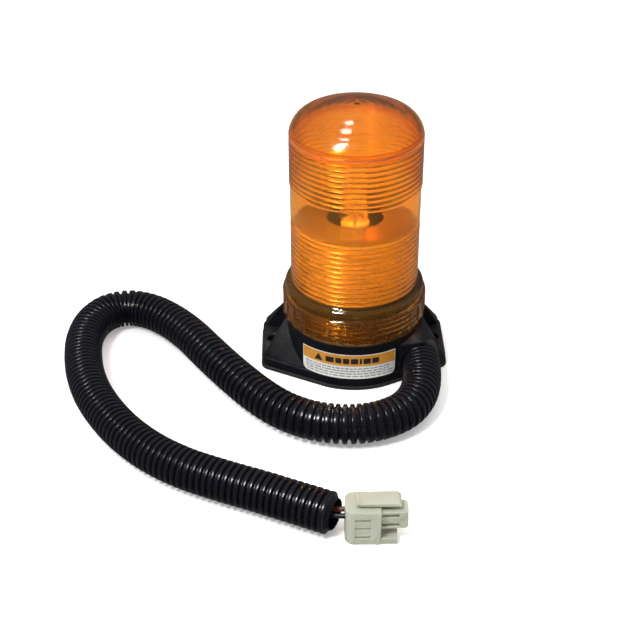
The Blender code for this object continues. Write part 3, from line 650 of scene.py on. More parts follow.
def lens_mesh():
    outside = [(35.6, SKIRT_BOTTOM + 0.3), skirt_row(37.0, 27.3, fall=0.5), skirt_row(37.4, 27.5, fall=0.5),
               skirt_row(SKIRT_RADIUS, 28.0, fall=0.3)]
    outside += [skirt_row(SKIRT_RADIUS, height) for height in (30.0, 34.0, 38.6)]
    outside += [skirt_row(SKIRT_RADIUS, 38.9, 0.85), skirt_row(SKIRT_RADIUS, 39.3, 0.3)]
    outside += SKIRT_SHOULDER + LENS_FOOT + [(WINDOW_RADIUS, 47.7)]
    low, count = LOWER_RIBS
    outside += wavy_wall(WINDOW_RADIUS, low + RIB_PITCH / 2, low + count * RIB_PITCH, 0.05)
    outside += [(WINDOW_RADIUS + 0.05, STEP_HEIGHT - 12), (WINDOW_RADIUS + 0.05, STEP_HEIGHT - 0.4),
                (WINDOW_RADIUS + 0.12, STEP_HEIGHT), (UPPER_RADIUS - 0.1, STEP_HEIGHT + 0.6),
                (UPPER_RADIUS, STEP_HEIGHT + 1.0)]
    low, count = UPPER_RIBS
    outside += wavy_wall(UPPER_RADIUS, low, low + (count - 0.5) * RIB_PITCH, 0.06)
    dome = dome_rows(UPPER_RADIUS, LENS_SHOULDER, SHOULDER_FILLET, DOME_TOP)
    outside += [row for row in dome if row[0] > 2]
    outside += [(1.5, DOME_TOP), (1.0, DOME_TOP + 0.15), (0.85, DOME_TOP + 0.5), (0.8, NIB_TOP - 0.2),
                (0.6, NIB_TOP), (0, NIB_TOP)]
    dome = dome_rows(WINDOW_BORE, LENS_SHOULDER - 1.6, 10.0, DOME_TOP - DOME_THICKNESS, 96)
    inside = [(0, DOME_TOP - DOME_THICKNESS)]
    inside += [(radius, height - inner_dome_relief(radius)) for radius, height in reversed(dome)]
    inside += rib_rows(*UPPER_RIBS)
    inside += [(WINDOW_BORE, 102.6), (WINDOW_BORE, 90.0), (WINDOW_BORE, 83.2)]
    inside += rib_rows(*LOWER_RIBS)
    inside += [(31.3, SEAT + 2.6), (31.3, SEAT + 0.6), (31.5, SEAT), (SKIRT_BORE, SEAT), (SKIRT_BORE, 41.4)]
    inside += thread_rows(NECK_THREAD_RADIUS + THREAD_CLEARANCE, 1)[::-1]
    inside += [(SKIRT_BORE, SKIRT_BOTTOM + 0.8)]
    return turned_mesh("lens_shell", outside + inside, lens_angles(), sharp=40)


def amber_material(name, colour, clear, roughness):
    """Clear amber moulding: faint flow lines, small scratches in the gloss, and a little milkiness.

    Long ways through the plastic, as round the ribs, come out redder and darker. The light of
    lamps passes the shell, tinted, to what is behind it.
    """
    made = Finish(name)
    scratches = made.noise(900, 5, 0.7, stretch=(1, 1, 0.12))
    flow = made.bump(made.noise(45, 2, distortion=0.6), 0.25, 0.15)
    made.surface({
        "Base Color": colour,
        "Transmission Weight": clear,
        "IOR": 1.49,
        "Roughness": made.ramp(scratches, (0.35, roughness), (0.75, roughness * 2.6)),
        "Normal": made.bump(scratches, 0.1, 0.004, flow),
    })
    tinted = made.add("BsdfTransparent", {"Color": (0.97, 0.72, 0.34)}).outputs[0]
    shadow = made.add("LightPath").outputs["Is Shadow Ray"]
    both = made.add("MixShader", {"Fac": shadow, 1: made.shader.outputs[0], 2: tinted}).outputs[0]
    depth = made.add("VolumeAbsorption", {"Color": (0.853, 0.667, 0.0), "Density": 330}).outputs[0]
    ends = made.nodes["Material Output"].inputs
    made.feed(ends["Surface"], both)
    made.feed(ends["Volume"], depth)
    return made.material


def lens_object():
    """The lens: its screw skirt and foot are duller, and its seat shows the seal behind it."""
    made = place("lens_shell", lens_mesh(), amber_material("amber_clear", (0.93, 0.60, 0.27), 0.98, 0.065))
    made.data.materials.append(amber_material("amber_skirt", (0.46, 0.28, 0.09), 0.94, 0.035))
    made.data.materials.append(plastic("seal_contact", (0.004, 0.003, 0.002), (0.008, 0.006, 0.004), 0.6))
    for face in made.data.polygons:
        radius, height = math.hypot(face.center.x, face.center.y) / MM, face.center.z / MM
        if height < 47.5 and radius > 33.4:
            face.material_index = 1
        elif SEAT - 0.3 < height < SEAL_LIP and (radius < 31.6 or height < SEAT + 0.2):
            face.material_index = 2
    return made


# ---- base

def gusset_points(side, front):
    """Corners of the web that ties an ear to the body, with its ridge on top."""
    ear_x = side * (EAR_HALF_WIDTH - LIP_INSET)
    if front:
        ear_y, top_y, ridge_y, tangent = EAR_FRONT, -6.0, -13.5, -62
    else:
        ear_y, top_y, ridge_y, tangent = EAR_BACK, 11.0, 21.0, 62
    inward = 1 if front else -1
    start, end = (0, -90 * inward) if side > 0 else (180, 180 + 90 * inward)
    middle = (ear_x - side * EAR_CORNER, ear_y + inward * (EAR_CORNER + LIP_INSET))
    corner = arc(middle, EAR_CORNER, start, end, 12)
    points = [(x, y, z) for x, y in corner for z in (LOW, LOW + 1.5)]
    edge = math.radians(tangent)
    foot_x = side * (LIP_RADIUS - LIP_INSET) * math.cos(edge)
    foot_y = (LIP_RADIUS - LIP_INSET) * math.sin(edge)
    points += [(foot_x, foot_y, LOW), (foot_x, foot_y, LOW + 1.5)]
    points += [(side * 36.2, top_y, BODY_TOP - 0.6), (side * 33.5, top_y, BODY_TOP - 0.6)]
    points += [(side * 46.8, ridge_y, RIDGE_HEIGHT), (side * 46.8, ridge_y, LOW)]
    points += [(side * 33.5, top_y, LOW)]
    return points


def port_wall_points():
    """Leaning wall in front of the right gusset, which the loom comes out of."""
    foot = [(20.5, -30.2, LOW), (33.5, -29.6, LOW), (45.0, -21.0, LOW)]
    head = [(22.0, -28.4, PORT_WALL_TOP - 0.6), (34.5, -26.0, PORT_WALL_TOP), (43.6, -19.4, 14.5)]
    back = [(20.0, -20.0, LOW), (20.0, -20.0, PORT_WALL_TOP), (33.0, -10.0, PORT_WALL_TOP + 1.5)]
    return foot + head + back + [point for point in gusset_points(1, True) if point[1] > -15]


def ear_holes(target, profile):
    for side in (1, -1):
        centre = (side * EAR_HOLE[0], EAR_HOLE[1])
        cut(target, turned_mesh("hole", profile, even_angles(48), centre))


def port_bore(target, end, segments):
    x, z = LOOM_ROUTE[0][0], LOOM_HEIGHT
    cut(target, bar_bmesh(PORT_RADIUS, (x, -45, z), (x, end, z), segments))


def base_object(finish):
    edge = BODY_RADIUS
    rows = [(28.0, LOW), (edge, LOW), (edge - 0.4, BODY_TOP - 0.9), (edge - 0.5, BODY_TOP - 0.5),
            (edge - 0.8, BODY_TOP - 0.15), (edge - 1.2, BODY_TOP), (NECK_RADIUS, BODY_TOP)]
    rows += thread_rows(NECK_THREAD_RADIUS, -1)
    rows += [(NECK_RADIUS, NECK_TOP - 0.4), (33.0, NECK_TOP), (28.0, NECK_TOP)]
    base = place("base_shell", turned_mesh("base_shell", rows, even_angles(160)), finish)
    neck = plastic("neck_black", (0.004, 0.004, 0.005), (0.008, 0.007, 0.008), 0.4, 900, 0.002)
    base.data.materials.append(neck)
    for face in base.data.polygons:
        if face.center.z > (BODY_TOP + 0.5) * MM:
            face.material_index = 1
    join(base, plate_bmesh(flange_outline(LIP_INSET), LOW, FLANGE_TOP, 0.8))
    for side in (1, -1):
        for front in (True, False):
            join(base, soft_edges(hull_bmesh(gusset_points(side, front)), 0.7))
    join(base, soft_edges(hull_bmesh(port_wall_points()), 0.8))
    wide = CAVITY_RADIUS + 2.2
    cavity = [(0, LOW - 1), (wide, LOW - 1), (wide, 4.5), (CAVITY_RADIUS, 4.5),
              (CAVITY_RADIUS, NECK_TOP + 1), (0, NECK_TOP + 1)]
    cut(base, turned_mesh("cavity", cavity, even_angles(96)))
    port_bore(base, PORT_END, 64)
    ear_holes(base, [(0, -1), (EAR_HOLE_RADIUS, -1), (EAR_HOLE_RADIUS, FLANGE_TOP - 0.5),
                     (EAR_HOLE_RADIUS + 1.5, FLANGE_TOP + 1), (0, FLANGE_TOP + 1)])
    return crisp(base)


def pad_object(finish):
    pad = place("pad_skin", mesh_from("pad_skin", plate_bmesh(flange_outline(0), 0, PAD_TOP, 0.5)), finish)
    port_bore(pad, -4, 48)
    cut(pad, turned_mesh("opening", [(0, -1), (29.5, -1), (29.5, 5), (0, 5)], even_angles(96)))
    ear_holes(pad, [(0, -1), (EAR_HOLE_RADIUS, -1), (EAR_HOLE_RADIUS, 5), (0, 5)])
    return crisp(pad)


def housing_material():
    """Near-black moulded plastic with a fine grain, and dust on what faces up."""
    made = Finish("black_housing")
    blotch = made.noise(60, 5, 0.62)
    body = made.ramp(blotch, (0.3, (0.0030, 0.0036, 0.0068)), (0.75, (0.0054, 0.0062, 0.0102)))
    normal = made.add("NewGeometry").outputs["Normal"]
    facing = made.add("SeparateXYZ", {"Vector": normal}).outputs["Z"]
    patch = made.ramp(blotch, (0.42, 0.05), (0.68, 0.8))
    spots = made.ramp(made.noise(700, 3, 0.6), (0.45, 0.25), (0.72, 1.0))
    dust = made.maths("MULTIPLY", made.maths("MULTIPLY", patch, spots),
                      made.ramp(facing, (0.25, 0.0), (0.9, 1.0)))
    grain = made.bump(made.noise(2600, 2), 0.6, 0.03)
    return made.surface({
        "Base Color": made.mix(dust, body, (0.085, 0.08, 0.062)),
        "Specular IOR Level": 0.3,
        "Roughness": made.ramp(blotch, (0.3, 0.42), (0.8, 0.62)),
        "Normal": made.bump(blotch, 0.2, 0.1, grain),
    })


# ---- label

LABEL_RADIUS = BODY_RADIUS + 0.3
LABEL_SPAN = (-47.0, 33.5)      # degrees about the front
LABEL_LOW, LABEL_SPLIT, LABEL_HIGH = 6.8, 14.5, 21.4
LABEL_CORNER = 3.0
BAR_WIDTHS = (4.4, 3.2, 3.3, 3.7, 1.2, 3.8, 3.6)
BAR_GAP = 0.8
LINE_PITCH = 1.55


def band_mesh(name, start, end, low, high, lift, thickness=0.05, columns=24):
    """Thin patch on the body's front, between two edges that are functions of the way across.

    The way across runs in mm along the body's surface from the label's middle.
    """
    bm = bmesh.new()
    middle = math.radians(-90 + sum(LABEL_SPAN) / 2)
    inner, outer = LABEL_RADIUS + lift, LABEL_RADIUS + lift + thickness
    loops = []
    for across in steps(start, end, columns):
        angle = middle + across / LABEL_RADIUS
        bottom, top = low(across), high(across)
        corners = (inner, bottom), (outer, bottom), (outer, top), (inner, top)
        loops.append(loop_of(bm, [(r * math.cos(angle), r * math.sin(angle), z) for r, z in corners]))
    walls(bm, loops)
    caps(bm, loops)
    return mesh_from(name, bm)


def label_pieces(finishes):
    """Film with a coloured header, a plain triangle and bars where the print would be."""
    half = math.radians(LABEL_SPAN[1] - LABEL_SPAN[0]) * LABEL_RADIUS / 2
    pieces = []

    def add(name, mesh, finish):
        pieces.append(place(name, mesh, finishes[finish]))

    def bottom(at):
        into = LABEL_CORNER - (half - abs(at))
        rise = LABEL_CORNER - math.sqrt(max(0.0, LABEL_CORNER ** 2 - into ** 2)) if into > 0 else 0.0
        return LABEL_LOW + rise

    add("label_film", band_mesh("label_film", -half, half, bottom, lambda at: LABEL_HIGH, 0, 0.2, 96), "film")
    edge = 0.35
    add("label_header", band_mesh("label_header", -half + edge, half - edge, lambda at: LABEL_SPLIT,
                                  lambda at: LABEL_HIGH - edge, 0.2, 0.03, 60), "header")
    low, high, middle, reach = LABEL_SPLIT + 1.2, LABEL_HIGH - 1.5, -0.305 * 2 * half, 2.4
    add("label_sign", band_mesh("label_sign", middle - reach, middle + reach, lambda at: low,
                                lambda at: high - (high - low - 0.15) * abs(at - middle) / reach,
                                0.23, 0.03, 12), "ink")
    at = -0.225 * 2 * half
    for number, width in enumerate(BAR_WIDTHS, start=1):
        name = f"label_bar_{number}"
        bar = band_mesh(name, at, at + width, lambda at: low + 0.3, lambda at: high - 0.7, 0.23, 0.03, 4)
        add(name, bar, "ink")
        at += width + BAR_GAP
    draw = random.Random(7)
    for row in range(4):
        height = LABEL_SPLIT - 1.9 - row * LINE_PITCH
        at = -half + 2.2 + (0.8 if row == 3 else 0)
        bm = bmesh.new()
        while at < half - 3.4:
            width = draw.uniform(1.2, 3.6)
            bm.from_mesh(band_mesh("dash", at, at + width, lambda at: height, lambda at: height + 0.7,
                                   0.2, 0.02, 3))
            at += width + 0.55
        add(f"label_lines_{row + 1}", mesh_from(f"label_lines_{row + 1}", bm), "fine_ink")
    return pieces


# ---- lamp and inside

SHROUD_BORE = 29.4
SHROUD_RADIUS = 30.2
COIL_RADIUS = 4.7               # the flash tube's helix
COIL_LOW, COIL_HIGH = 85.2, 99.5
COIL_TURNS = 2.5
TUBE_RADIUS = 1.7


def reflector_mesh():
    """Shallow polished cone with a rolled rim and a rolled edge at its hole."""
    rows = [(29.0, 78.7), (29.0, 81.4), (29.2, 82.0), (29.9, 82.15), (30.2, 82.4), (30.15, 82.8),
            (29.8, 82.95), (25.0, 83.25), (20.0, 83.6), (16.5, 83.85), (15.2, 84.0), (14.75, 84.2),
            (14.5, 84.15), (14.42, 83.9), (14.5, 83.5), (15.0, 83.35), (20.0, 82.95), (26.5, 82.5),
            (27.9, 82.2), (28.3, 81.6), (28.3, 78.7)]
    return turned_mesh("reflector_disc", rows, even_angles(144))


def seal_mesh():
    """Soft black ring under the lens's foot, with a lip that stands up inside it."""
    rows = [(30.45, 42.5), (34.8, 42.5), (35.05, 42.75), (35.05, 43.85), (34.8, 44.1), (31.4, 44.1),
            (31.1, 44.3), (31.05, SEAL_LIP - 0.3), (30.9, SEAL_LIP), (30.6, SEAL_LIP),
            (30.45, SEAL_LIP - 0.3)]
    return turned_mesh("seal_ring", rows, even_angles(128))


def shroud_object(white):
    """White tube that carries the reflector, with painted shade on its inner side: its bore gets a near-black
    finish.
    """
    wall = rounded_rows(SHROUD_BORE, SHROUD_RADIUS, 25.9, 81.8, 0.25)
    shroud = place("shroud_tube", turned_mesh("shroud_tube", wall, even_angles(128)), white)
    # The bore's faces get a near-black finish: painted shade for the dark inside of the tube, not the white
    # plastic's own colour.
    shroud.data.materials.append(plastic("shroud_inside_painted_shade", (0.020, 0.018, 0.015), (0.035, 0.030, 0.026), 0.6))
    for face in shroud.data.polygons:
        if math.hypot(face.center.x, face.center.y) < (SHROUD_BORE + 0.2) * MM:
            face.material_index = 1
    return shroud


def helix(radius, low, high, turns, count):
    points = []
    for share in steps(0, 1, count):
        angle = 2 * math.pi * turns * share
        points.append((radius * math.cos(angle), radius * math.sin(angle), low + (high - low) * share))
    return points


# ---- connector

CONNECTOR_REAR = (-9.5, -148.3, 0.2)
HOUSING_LENGTH = 16.0
HOUSING_WIDTH = 15.2
HOUSING_HEIGHT = 17.8
TERMINAL_HEIGHT = 12.2
SHELF_LENGTH = 23.6
NOSE_LENGTH = 28.4
LATCH_START = 5.2
LATCH_END = 25.4
LATCH_PIVOT = 11.0
WIRE_RADIUS = 1.2
WIRE_OFFSETS = (2.4, -2.4)      # supply and ground, across the connector


def soften(made, width, over=30):
    """Round the edges of an object that is already cut to shape."""
    bm = bmesh.new()
    bm.from_mesh(made.data)
    bmesh.ops.remove_doubles(bm, verts=bm.verts, dist=0.005 * MM)
    bmesh.ops.dissolve_limit(bm, angle_limit=math.radians(1), verts=bm.verts, edges=bm.edges)
    soft_edges(bm, width, 2, over)
    bmesh.ops.recalc_face_normals(bm, faces=bm.faces)
    bm.to_mesh(made.data)
    bm.free()
    return crisp(made)


def connector_body(finish):
    half, front = HOUSING_WIDTH / 2, HOUSING_LENGTH
    corner = 4.4
    outline = (arc((corner, -half + corner), corner, 180, 270, 10) + [(front, -half), (front, half)]
               + arc((corner, half - corner), corner, 90, 180, 10))
    body = mesh_from("connector_body", prism_bmesh(outline, 0, HOUSING_HEIGHT))
    body = place("connector_body", body, finish, CONNECTOR_REAR)
    join(body, box_bmesh((front - 2, -half + 0.2, 0), (SHELF_LENGTH, half - 0.2, 3.2)))
    join(body, box_bmesh((front - 1.8, -half - 0.4, 0.3), (front - 0.4, half + 0.4, HOUSING_HEIGHT - 0.4)))

    def recess(side, depth, low, high):
        low_y, high_y = sorted((side * (half - depth), side * (half + 2)))
        cut(body, box_bmesh((4.4, low_y, low), (11.4, high_y, high)))

    for low, high in ((3.4, 4.4), (8.2, 9.5), (13.0, 14.2)):
        for side in (1, -1):
            recess(side, 0.75, low, high)
    for side in (1, -1):
        recess(side, 0.3, 4.4, 8.2)
        recess(side, 0.3, 9.5, 13.0)
    cut(body, box_bmesh((12.6, -5.4, 6.6), (front + 1, 4.2, HOUSING_HEIGHT - 1.2)))
    for offset in WIRE_OFFSETS:
        start, end = (-1, offset, TERMINAL_HEIGHT), (13.5, offset, TERMINAL_HEIGHT)
        cut(body, bar_bmesh(WIRE_RADIUS + 0.8, start, end, 32))
    return soften(body, 0.3)


def connector_block(finish):
    end = NOSE_LENGTH
    outline = [(13.0, -5.0)] + arc((end - 2.2, -2.8), 2.2, -90, 0, 8) + arc((end - 2.2, 1.6), 2.2, 0, 90, 8)
    outline += [(13.0, 3.8)]
    block = mesh_from("connector_block", prism_bmesh(outline, 7.0, 16.2))
    block = place("connector_block", block, finish, CONNECTOR_REAR)
    for low, high in ((8.0, 10.2), (13.2, 15.2)):
        cut(block, box_bmesh((HOUSING_LENGTH + 0.4, -6.0, low), (24.2, -3.9, high)))
    cut(block, box_bmesh((24.8, -6, 11.6), (end + 1, -4.75, 11.9)))
    room = 1.35
    for offset in WIRE_OFFSETS:
        cut(block, box_bmesh((12, offset - room, TERMINAL_HEIGHT - room),
                             (end + 1, offset + room, TERMINAL_HEIGHT + room)))
    return soften(block, 0.3)


def connector_lever(finish):
    x, y, z = CONNECTOR_REAR
    pivot = (x + LATCH_PIVOT, y, z + HOUSING_HEIGHT + 0.9)
    start, end = LATCH_START - LATCH_PIVOT, LATCH_END - LATCH_PIVOT
    profile = [(start, 1.4), (start + 0.1, 0.7), (start + 0.5, 0.15), (start + 2.4, -0.2),
               (-1.5, -0.2), (-1.0, -0.5), (0.0, -0.6), (1.0, -0.5), (1.5, -0.2),
               (end - 0.3, -0.2), (end, 0.1), (end - 1.4, 1.6), (end - 6, 1.6), (2.0, 1.5),
               (start + 3.6, 1.25), (start + 1.8, 1.25), (start + 0.7, 1.6)]
    bm = bmesh.new()
    loops = [loop_of(bm, [(x, y, z) for x, z in profile]) for y in (5.0, -4.0)]
    caps(bm, loops)
    walls(bm, loops)
    lever = place("connector_lever", mesh_from("connector_lever", bm), finish, pivot)
    return soften(lever, 0.22, over=25)


def wire_points(offset):
    """A wire's curve from inside the loom's end to a terminal, pulled along by a few guide points."""
    end = Vector((*LOOM_ROUTE[-1], LOOM_HEIGHT))
    heading = (end - Vector((*LOOM_ROUTE[-2], LOOM_HEIGHT))).normalized()
    side = Vector((-heading.y, heading.x, 0))
    rear = Vector(CONNECTOR_REAR)
    start = end - heading * 9 + side * offset * 0.8
    mouth = rear + Vector((0.2, offset, TERMINAL_HEIGHT))
    inside = rear + Vector((11.4, offset, TERMINAL_HEIGHT))
    guide = [start, end - heading * 3 + side * offset, mouth - Vector((3, 0, 0)), mouth, inside]
    points = []
    for t in steps(0, 1, 24):
        level = guide
        while len(level) > 1:
            level = [a.lerp(b, t) for a, b in zip(level, level[1:])]
        points.append(level[0])
    return points


# ---- more procedural finishes

def with_bands(name, colour, band, scale, roughness=0.45, metallic=0.0, direction="Z", depth=0.03):
    """A surface with fine bands across a direction, such as a winding, or with rings about Z for R."""
    made = Finish(name)
    where = made.add("TexCoord").outputs["Object"]
    wave = made.add("TexWave", {"Scale": scale, "Distortion": 0.6, "Detail": 2.0, "Vector": where})
    if direction == "R":
        wave.wave_type, wave.rings_direction = "RINGS", "Z"
    else:
        wave.bands_direction = direction
    turns = wave.outputs["Fac"]
    return made.surface({
        "Base Color": made.ramp(turns, (0.2, band), (0.7, colour)),
        "Roughness": made.ramp(made.noise(140, 3), (0.3, roughness * 0.8), (0.8, roughness * 1.3)),
        "Metallic": metallic,
        "Normal": made.bump(turns, 0.5, depth),
    })


def board_material():
    """Green solder mask over copper tracks, with tinned pads."""
    made = Finish("circuit_board")
    where = made.add("TexCoord").outputs["Object"]
    tracks = made.add("TexBrick", {
        "Vector": where, "Scale": 160, "Mortar Size": 0.06, "Color1": (0.012, 0.09, 0.03),
        "Color2": (0.02, 0.14, 0.045), "Mortar": (0.05, 0.24, 0.08),
    }).outputs
    pads = made.add("TexVoronoi", {"Vector": where, "Scale": 240}).outputs["Distance"]
    spots = made.ramp(pads, (0.14, 1.0), (0.18, 0.0))
    return made.surface({
        "Base Color": made.mix(spots, tracks["Color"], (0.6, 0.6, 0.58)),
        "Roughness": made.ramp(spots, (0.0, 0.3), (1.0, 0.45)),
        "Normal": made.bump(tracks["Fac"], 0.4, 0.03),
    })


def loom_material():
    """Satin black polyethylene with slow unevenness and fine scuffs."""
    made = Finish("loom_plastic")
    drift, scuff = made.noise(40, 4), made.noise(700, 2, 0.5)
    return made.surface({
        "Base Color": made.ramp(drift, (0.3, (0.0048, 0.0050, 0.0085)), (0.75, (0.0080, 0.0080, 0.0120))),
        "Roughness": made.ramp(scuff, (0.3, 0.19), (0.75, 0.29)),
        "Normal": made.bump(scuff, 0.15, 0.006, made.bump(drift, 0.3, 0.2)),
    })


def nylon_material():
    """Natural nylon: ivory with a green cast, waxy and slightly see-through."""
    made = Finish("connector_nylon")
    drift = made.noise(110, 4)
    tints = (0.3, (0.40, 0.42, 0.325)), (0.55, (0.44, 0.455, 0.37)), (0.8, (0.48, 0.485, 0.415))
    return made.surface({
        "Base Color": made.ramp(drift, *tints),
        "Roughness": made.ramp(drift, (0.3, 0.3), (0.8, 0.45)),
        "Subsurface Weight": 0.6,
        "Subsurface Radius": (1.0, 1.0, 0.75),
        "Subsurface Scale": 0.0018,
        "Normal": made.bump(made.noise(1500, 3), 0.3, 0.02),
    })


def paper_material(name, colour, tint):
    """Printed film: slight unevenness of the ink, and a soft gloss."""
    made = Finish(name)
    drift = made.noise(260, 4)
    return made.surface({
        "Base Color": made.ramp(drift, (0.3, colour), (0.75, tint)),
        "Roughness": made.ramp(drift, (0.2, 0.38), (0.8, 0.53)),
        "Normal": made.bump(drift, 0.15, 0.03),
    })


def glass_material():
    """Slightly hazy glass of the flash tube."""
    made = Finish("tube_glass")
    return made.surface({
        "Base Color": (0.62, 0.60, 0.56),
        "Transmission Weight": 0.4,
        "IOR": 1.47,
        "Roughness": made.ramp(made.noise(500, 3), (0.35, 0.04), (0.8, 0.22)),
    })


# ---- studio

FLOOR_HEIGHT = -0.15            # just under the pad
KEY_AZIMUTH = -36
# Small lamps overhead, whose glints show on the dome: (place), width, depth
CEILING_LAMPS = [
    ((-46, 495, 881), 0.066, 0.09),
    ((-90, 352, 954), 0.096, 0.10),
    ((-188, -43, 1019), 0.14, 0.2),
]


def make_floor():
    bm = bmesh.new()
    bmesh.ops.create_circle(bm, cap_ends=True, segments=96, radius=4.0)
    made = Finish("studio_floor")
    finish = made.surface({
        "Base Color": made.ramp(made.noise(6, 2), (0.2, 0.90), (0.8, 0.92)),
        "Roughness": 0.95,
        "Specular IOR Level": 0.1,
        "Emission Color": (1, 1, 1),
        "Emission Strength": 0.3,
    })
    floor = place("studio_floor", mesh_from("studio_floor", bm), finish, (0, 0, FLOOR_HEIGHT))
    floor.visible_glossy = False


def make_world():
    """A pale sweep behind and a darker room in front; the backdrop itself looks evenly pale."""
    world = bpy.data.worlds.new("studio")
    tree = Tree(world)
    where = tree.add("TexCoord").outputs["Generated"]
    behind = tree.add("SeparateXYZ", {"Vector": where}).outputs["Y"]
    room = tree.add("MapRange", {"From Min": -0.55, "From Max": 0.15, "To Min": 0.05, "To Max": 1.0,
                                 "Value": behind}, interpolation_type="SMOOTHSTEP").outputs["Result"]
    path = tree.add("LightPath").outputs
    share = tree.add("MapRange", {"To Min": 1.0, "To Max": 0.16, "Value": path["Is Glossy Ray"]})
    dimmed = tree.maths("MULTIPLY", room, share.outputs["Result"])
    back = tree.nodes["Background"].inputs
    tree.feed(back["Strength"], tree.maths("MAXIMUM", path["Is Camera Ray"], dimmed))
    tree.feed(back["Color"], (1, 1, 1))
    bpy.context.scene.world = world


def softbox(name, azimuth, elevation, distance, width, height, radiance, aim=(0, 0, 80)):
    """Rectangular lamp; azimuth 0 is the side that the lead leaves on, and 90 is to its right."""
    a, e = math.radians(azimuth), math.radians(elevation)
    out = Vector((math.sin(a) * math.cos(e), -math.cos(a) * math.cos(e), math.sin(e)))
    data = bpy.data.lights.new(name, "AREA")
    data.shape = "RECTANGLE"
    data.size, data.size_y = width, height
    data.energy = radiance * math.pi * width * height
    made = bpy.data.objects.new(name, data)
    made.location = Vector(aim) * MM + out * distance
    made.rotation_euler = out.to_track_quat("Z", "Y").to_euler()
    bpy.context.scene.collection.objects.link(made)
    return made


def receivers(name, pieces):
    """A collection of the only pieces that a lamp lights."""
    made = bpy.data.collections.new(name)
    for piece in pieces:
        made.objects.link(piece)
    return made


def make_lights(lens, inside):
    softbox("key", KEY_AZIMUTH, 50, 0.9, 0.18, 0.18, 60)
    only_lens = receivers("strip_receivers", [lens])
    strip = softbox("strip", KEY_AZIMUTH, 48, 0.9, 0.07, 0.5, 510)
    strip.visible_diffuse = False
    strip.light_linking.receiver_collection = only_lens
    for number, (where, width, depth) in enumerate(CEILING_LAMPS, start=1):
        spot = softbox(f"ceiling_{number}", 0, 90, 0, width, depth, 20, aim=where)
        spot.visible_diffuse = spot.visible_transmission = False
        spot.light_linking.receiver_collection = only_lens
    overhead = softbox("overhead", 0, 88, 1.3, 1.4, 1.2, 1.1, aim=(-50, -60, 0))
    fill = softbox("fill", 62, 28, 1.1, 0.4, 0.4, 1.3)
    overhead.visible_glossy = fill.visible_glossy = False
    lamp_side = softbox("lamp_side", 64, 24, 1.1, 0.5, 0.4, 60)
    lamp_side.visible_glossy = lamp_side.visible_transmission = False
    lamp_side.light_linking.receiver_collection = receivers("under_the_lens", inside)


# ---- assembly

def finish_nodes(made, *names):
    """Gives nodes of the frame their finish."""
    nodes = [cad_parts[name] for name in names]
    for node in nodes:
        node.data.materials.clear()
        node.data.materials.append(made)
    return nodes


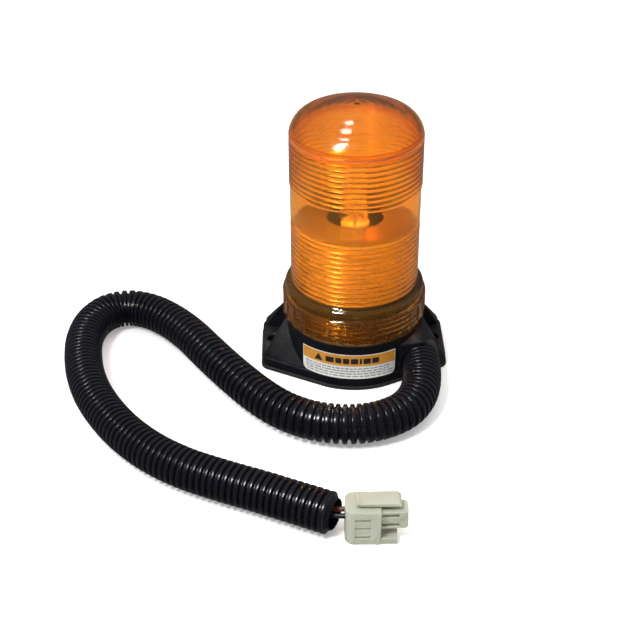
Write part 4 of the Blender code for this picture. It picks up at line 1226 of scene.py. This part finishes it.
def build():
    make_camera()
    scene = bpy.context.scene
    scene.view_settings.view_transform = "Standard"
    scene.view_settings.look = "None"
    make_world()
    make_floor()

    nylon = nylon_material()
    brown = plastic("brown_wire", (0.10, 0.035, 0.016), (0.15, 0.055, 0.024), 0.38)
    black = plastic("black_wire", (0.010, 0.010, 0.011), (0.016, 0.016, 0.018), 0.36)
    brass = metal("terminal_brass", (0.62, 0.43, 0.16), (0.74, 0.53, 0.22), 0.24, (1, 6, 6))

    route = Route(LOOM_ROUTE, LOOM_HEIGHT)
    skin, path = loom_mesh("loom_skin", route)
    loom = place("loom_skin", skin, loom_material())
    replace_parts(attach(loom, "base"), "loom")
    supply = tube_curve("supply_lead", wire_points(WIRE_OFFSETS[0]), WIRE_RADIUS, brown)
    ground = tube_curve("ground_lead", wire_points(WIRE_OFFSETS[1]), WIRE_RADIUS, black)
    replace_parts(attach(supply, "base"), "supply_wire_outer")
    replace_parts(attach(ground, "base"), "ground_wire_outer")
    body = connector_body(nylon)
    block = connector_block(nylon)
    lever = connector_lever(nylon)
    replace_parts(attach(body, "base"), "connector_housing")
    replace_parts(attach(block, "base"), "connector_nose")
    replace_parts(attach(lever, "latch"), "connector_latch")
    pins = finish_nodes(brass, "terminal_1", "terminal_2")

    housing = housing_material()
    rubber = plastic("rubber", (0.014, 0.0135, 0.012), (0.026, 0.025, 0.021), 0.72, 700, 0.05)
    base = base_object(housing)
    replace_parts(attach(base, "base"), "base_housing")
    pad = pad_object(rubber)
    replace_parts(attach(pad, "base"), "mounting_pad")
    label = label_pieces({
        "film": paper_material("label_film", (0.74, 0.76, 0.74), (0.82, 0.83, 0.80)),
        "header": paper_material("label_header", (0.66, 0.27, 0.022), (0.78, 0.35, 0.04)),
        "ink": paper_material("label_ink", (0.020, 0.016, 0.012), (0.035, 0.028, 0.02)),
        "fine_ink": paper_material("label_fine_ink", (0.22, 0.23, 0.23), (0.32, 0.33, 0.32)),
    })
    for piece in label:
        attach(piece, "base")
    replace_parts(label[0], "label")

    lens = lens_object()
    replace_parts(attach(lens, "lens"), "lens")

    seal = place("seal_ring", seal_mesh(), rubber)
    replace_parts(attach(seal, "seal"), "lens_seal")

    mirror = with_bands("polished_reflector", (0.36, 0.34, 0.32), (0.30, 0.28, 0.27), 900, 0.16, 0.75,
                        "R", 0.004)
    disc = place("reflector_disc", reflector_mesh(), mirror)
    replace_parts(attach(disc, "base"), "reflector")
    white = plastic("white_plastic", (0.19, 0.19, 0.175), (0.24, 0.24, 0.225), 0.42)
    shroud = shroud_object(white)
    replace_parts(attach(shroud, "base"), "shroud")
    coil = [(COIL_RADIUS, 0, COIL_LOW - 1.0), *helix(COIL_RADIUS, COIL_LOW, COIL_HIGH, COIL_TURNS, 160)]
    tube = tube_curve("glass_helix", coil, TUBE_RADIUS, glass_material(), 8)
    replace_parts(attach(tube, "base"), "flash_tube")

    zinc = metal("zinc_steel", (0.50, 0.50, 0.52), (0.66, 0.66, 0.68), 0.3)
    leads = metal("tinned_lead", (0.62, 0.62, 0.60), (0.74, 0.74, 0.72), 0.28, (1, 1, 0.2))
    epoxy = plastic("epoxy_black", (0.012, 0.012, 0.012), (0.024, 0.024, 0.024), 0.5, 1600, 0.03)
    finish_nodes(housing, "bottom_plate")
    finish_nodes(rubber, "cable_grommet")
    finish_nodes(zinc, *(f"{kind}_screw_{number}" for kind in ("plate", "board") for number in (1, 2, 3)))
    finish_nodes(plastic("tube_base_plastic", (0.55, 0.52, 0.46), (0.66, 0.63, 0.56), 0.55), "tube_base")
    finish_nodes(plastic("tube_post_plastic", (0.10, 0.09, 0.075), (0.14, 0.125, 0.105), 0.5), "tube_post")
    finish_nodes(leads, "cathode_lead", "anode_lead", "trigger_wire")
    finish_nodes(board_material(), "circuit_board")
    finish_nodes(plastic("capacitor_sleeve", (0.012, 0.013, 0.018), (0.022, 0.023, 0.03), 0.32),
                 "main_capacitor")
    finish_nodes(with_bands("trigger_coil", (0.05, 0.04, 0.02), (0.012, 0.012, 0.012), 500), "trigger_coil")
    finish_nodes(plastic("ferrite", (0.03, 0.03, 0.032), (0.05, 0.05, 0.052), 0.62, 1800, 0.04),
                 "transformer_core")
    finish_nodes(with_bands("copper_winding", (0.60, 0.24, 0.09), (0.25, 0.08, 0.03), 700, 0.3, 1.0, "X"),
                 "transformer_winding")
    finish_nodes(metal("heat_sink_aluminium", (0.62, 0.63, 0.65), (0.74, 0.75, 0.77), 0.36, (1, 1, 0.1)),
                 "heat_sink")
    finish_nodes(epoxy, "transistor", "diode_1", "diode_2")
    finish_nodes(plastic("film_capacitor_resin", (0.42, 0.07, 0.018), (0.52, 0.10, 0.03), 0.34),
                 "film_capacitor")
    finish_nodes(with_bands("resistor_body", (0.55, 0.43, 0.26), (0.25, 0.06, 0.03), 160, 0.5, 0.0, "X"),
                 "resistor_1", "resistor_2")
    finish_nodes(brown, "supply_wire_inner")
    finish_nodes(black, "ground_wire_inner")
    in_the_lens = [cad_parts[name] for name in ("tube_base", "tube_post", "cathode_lead", "anode_lead")]
    make_lights(lens, [shroud, disc, tube, *in_the_lens])


build()
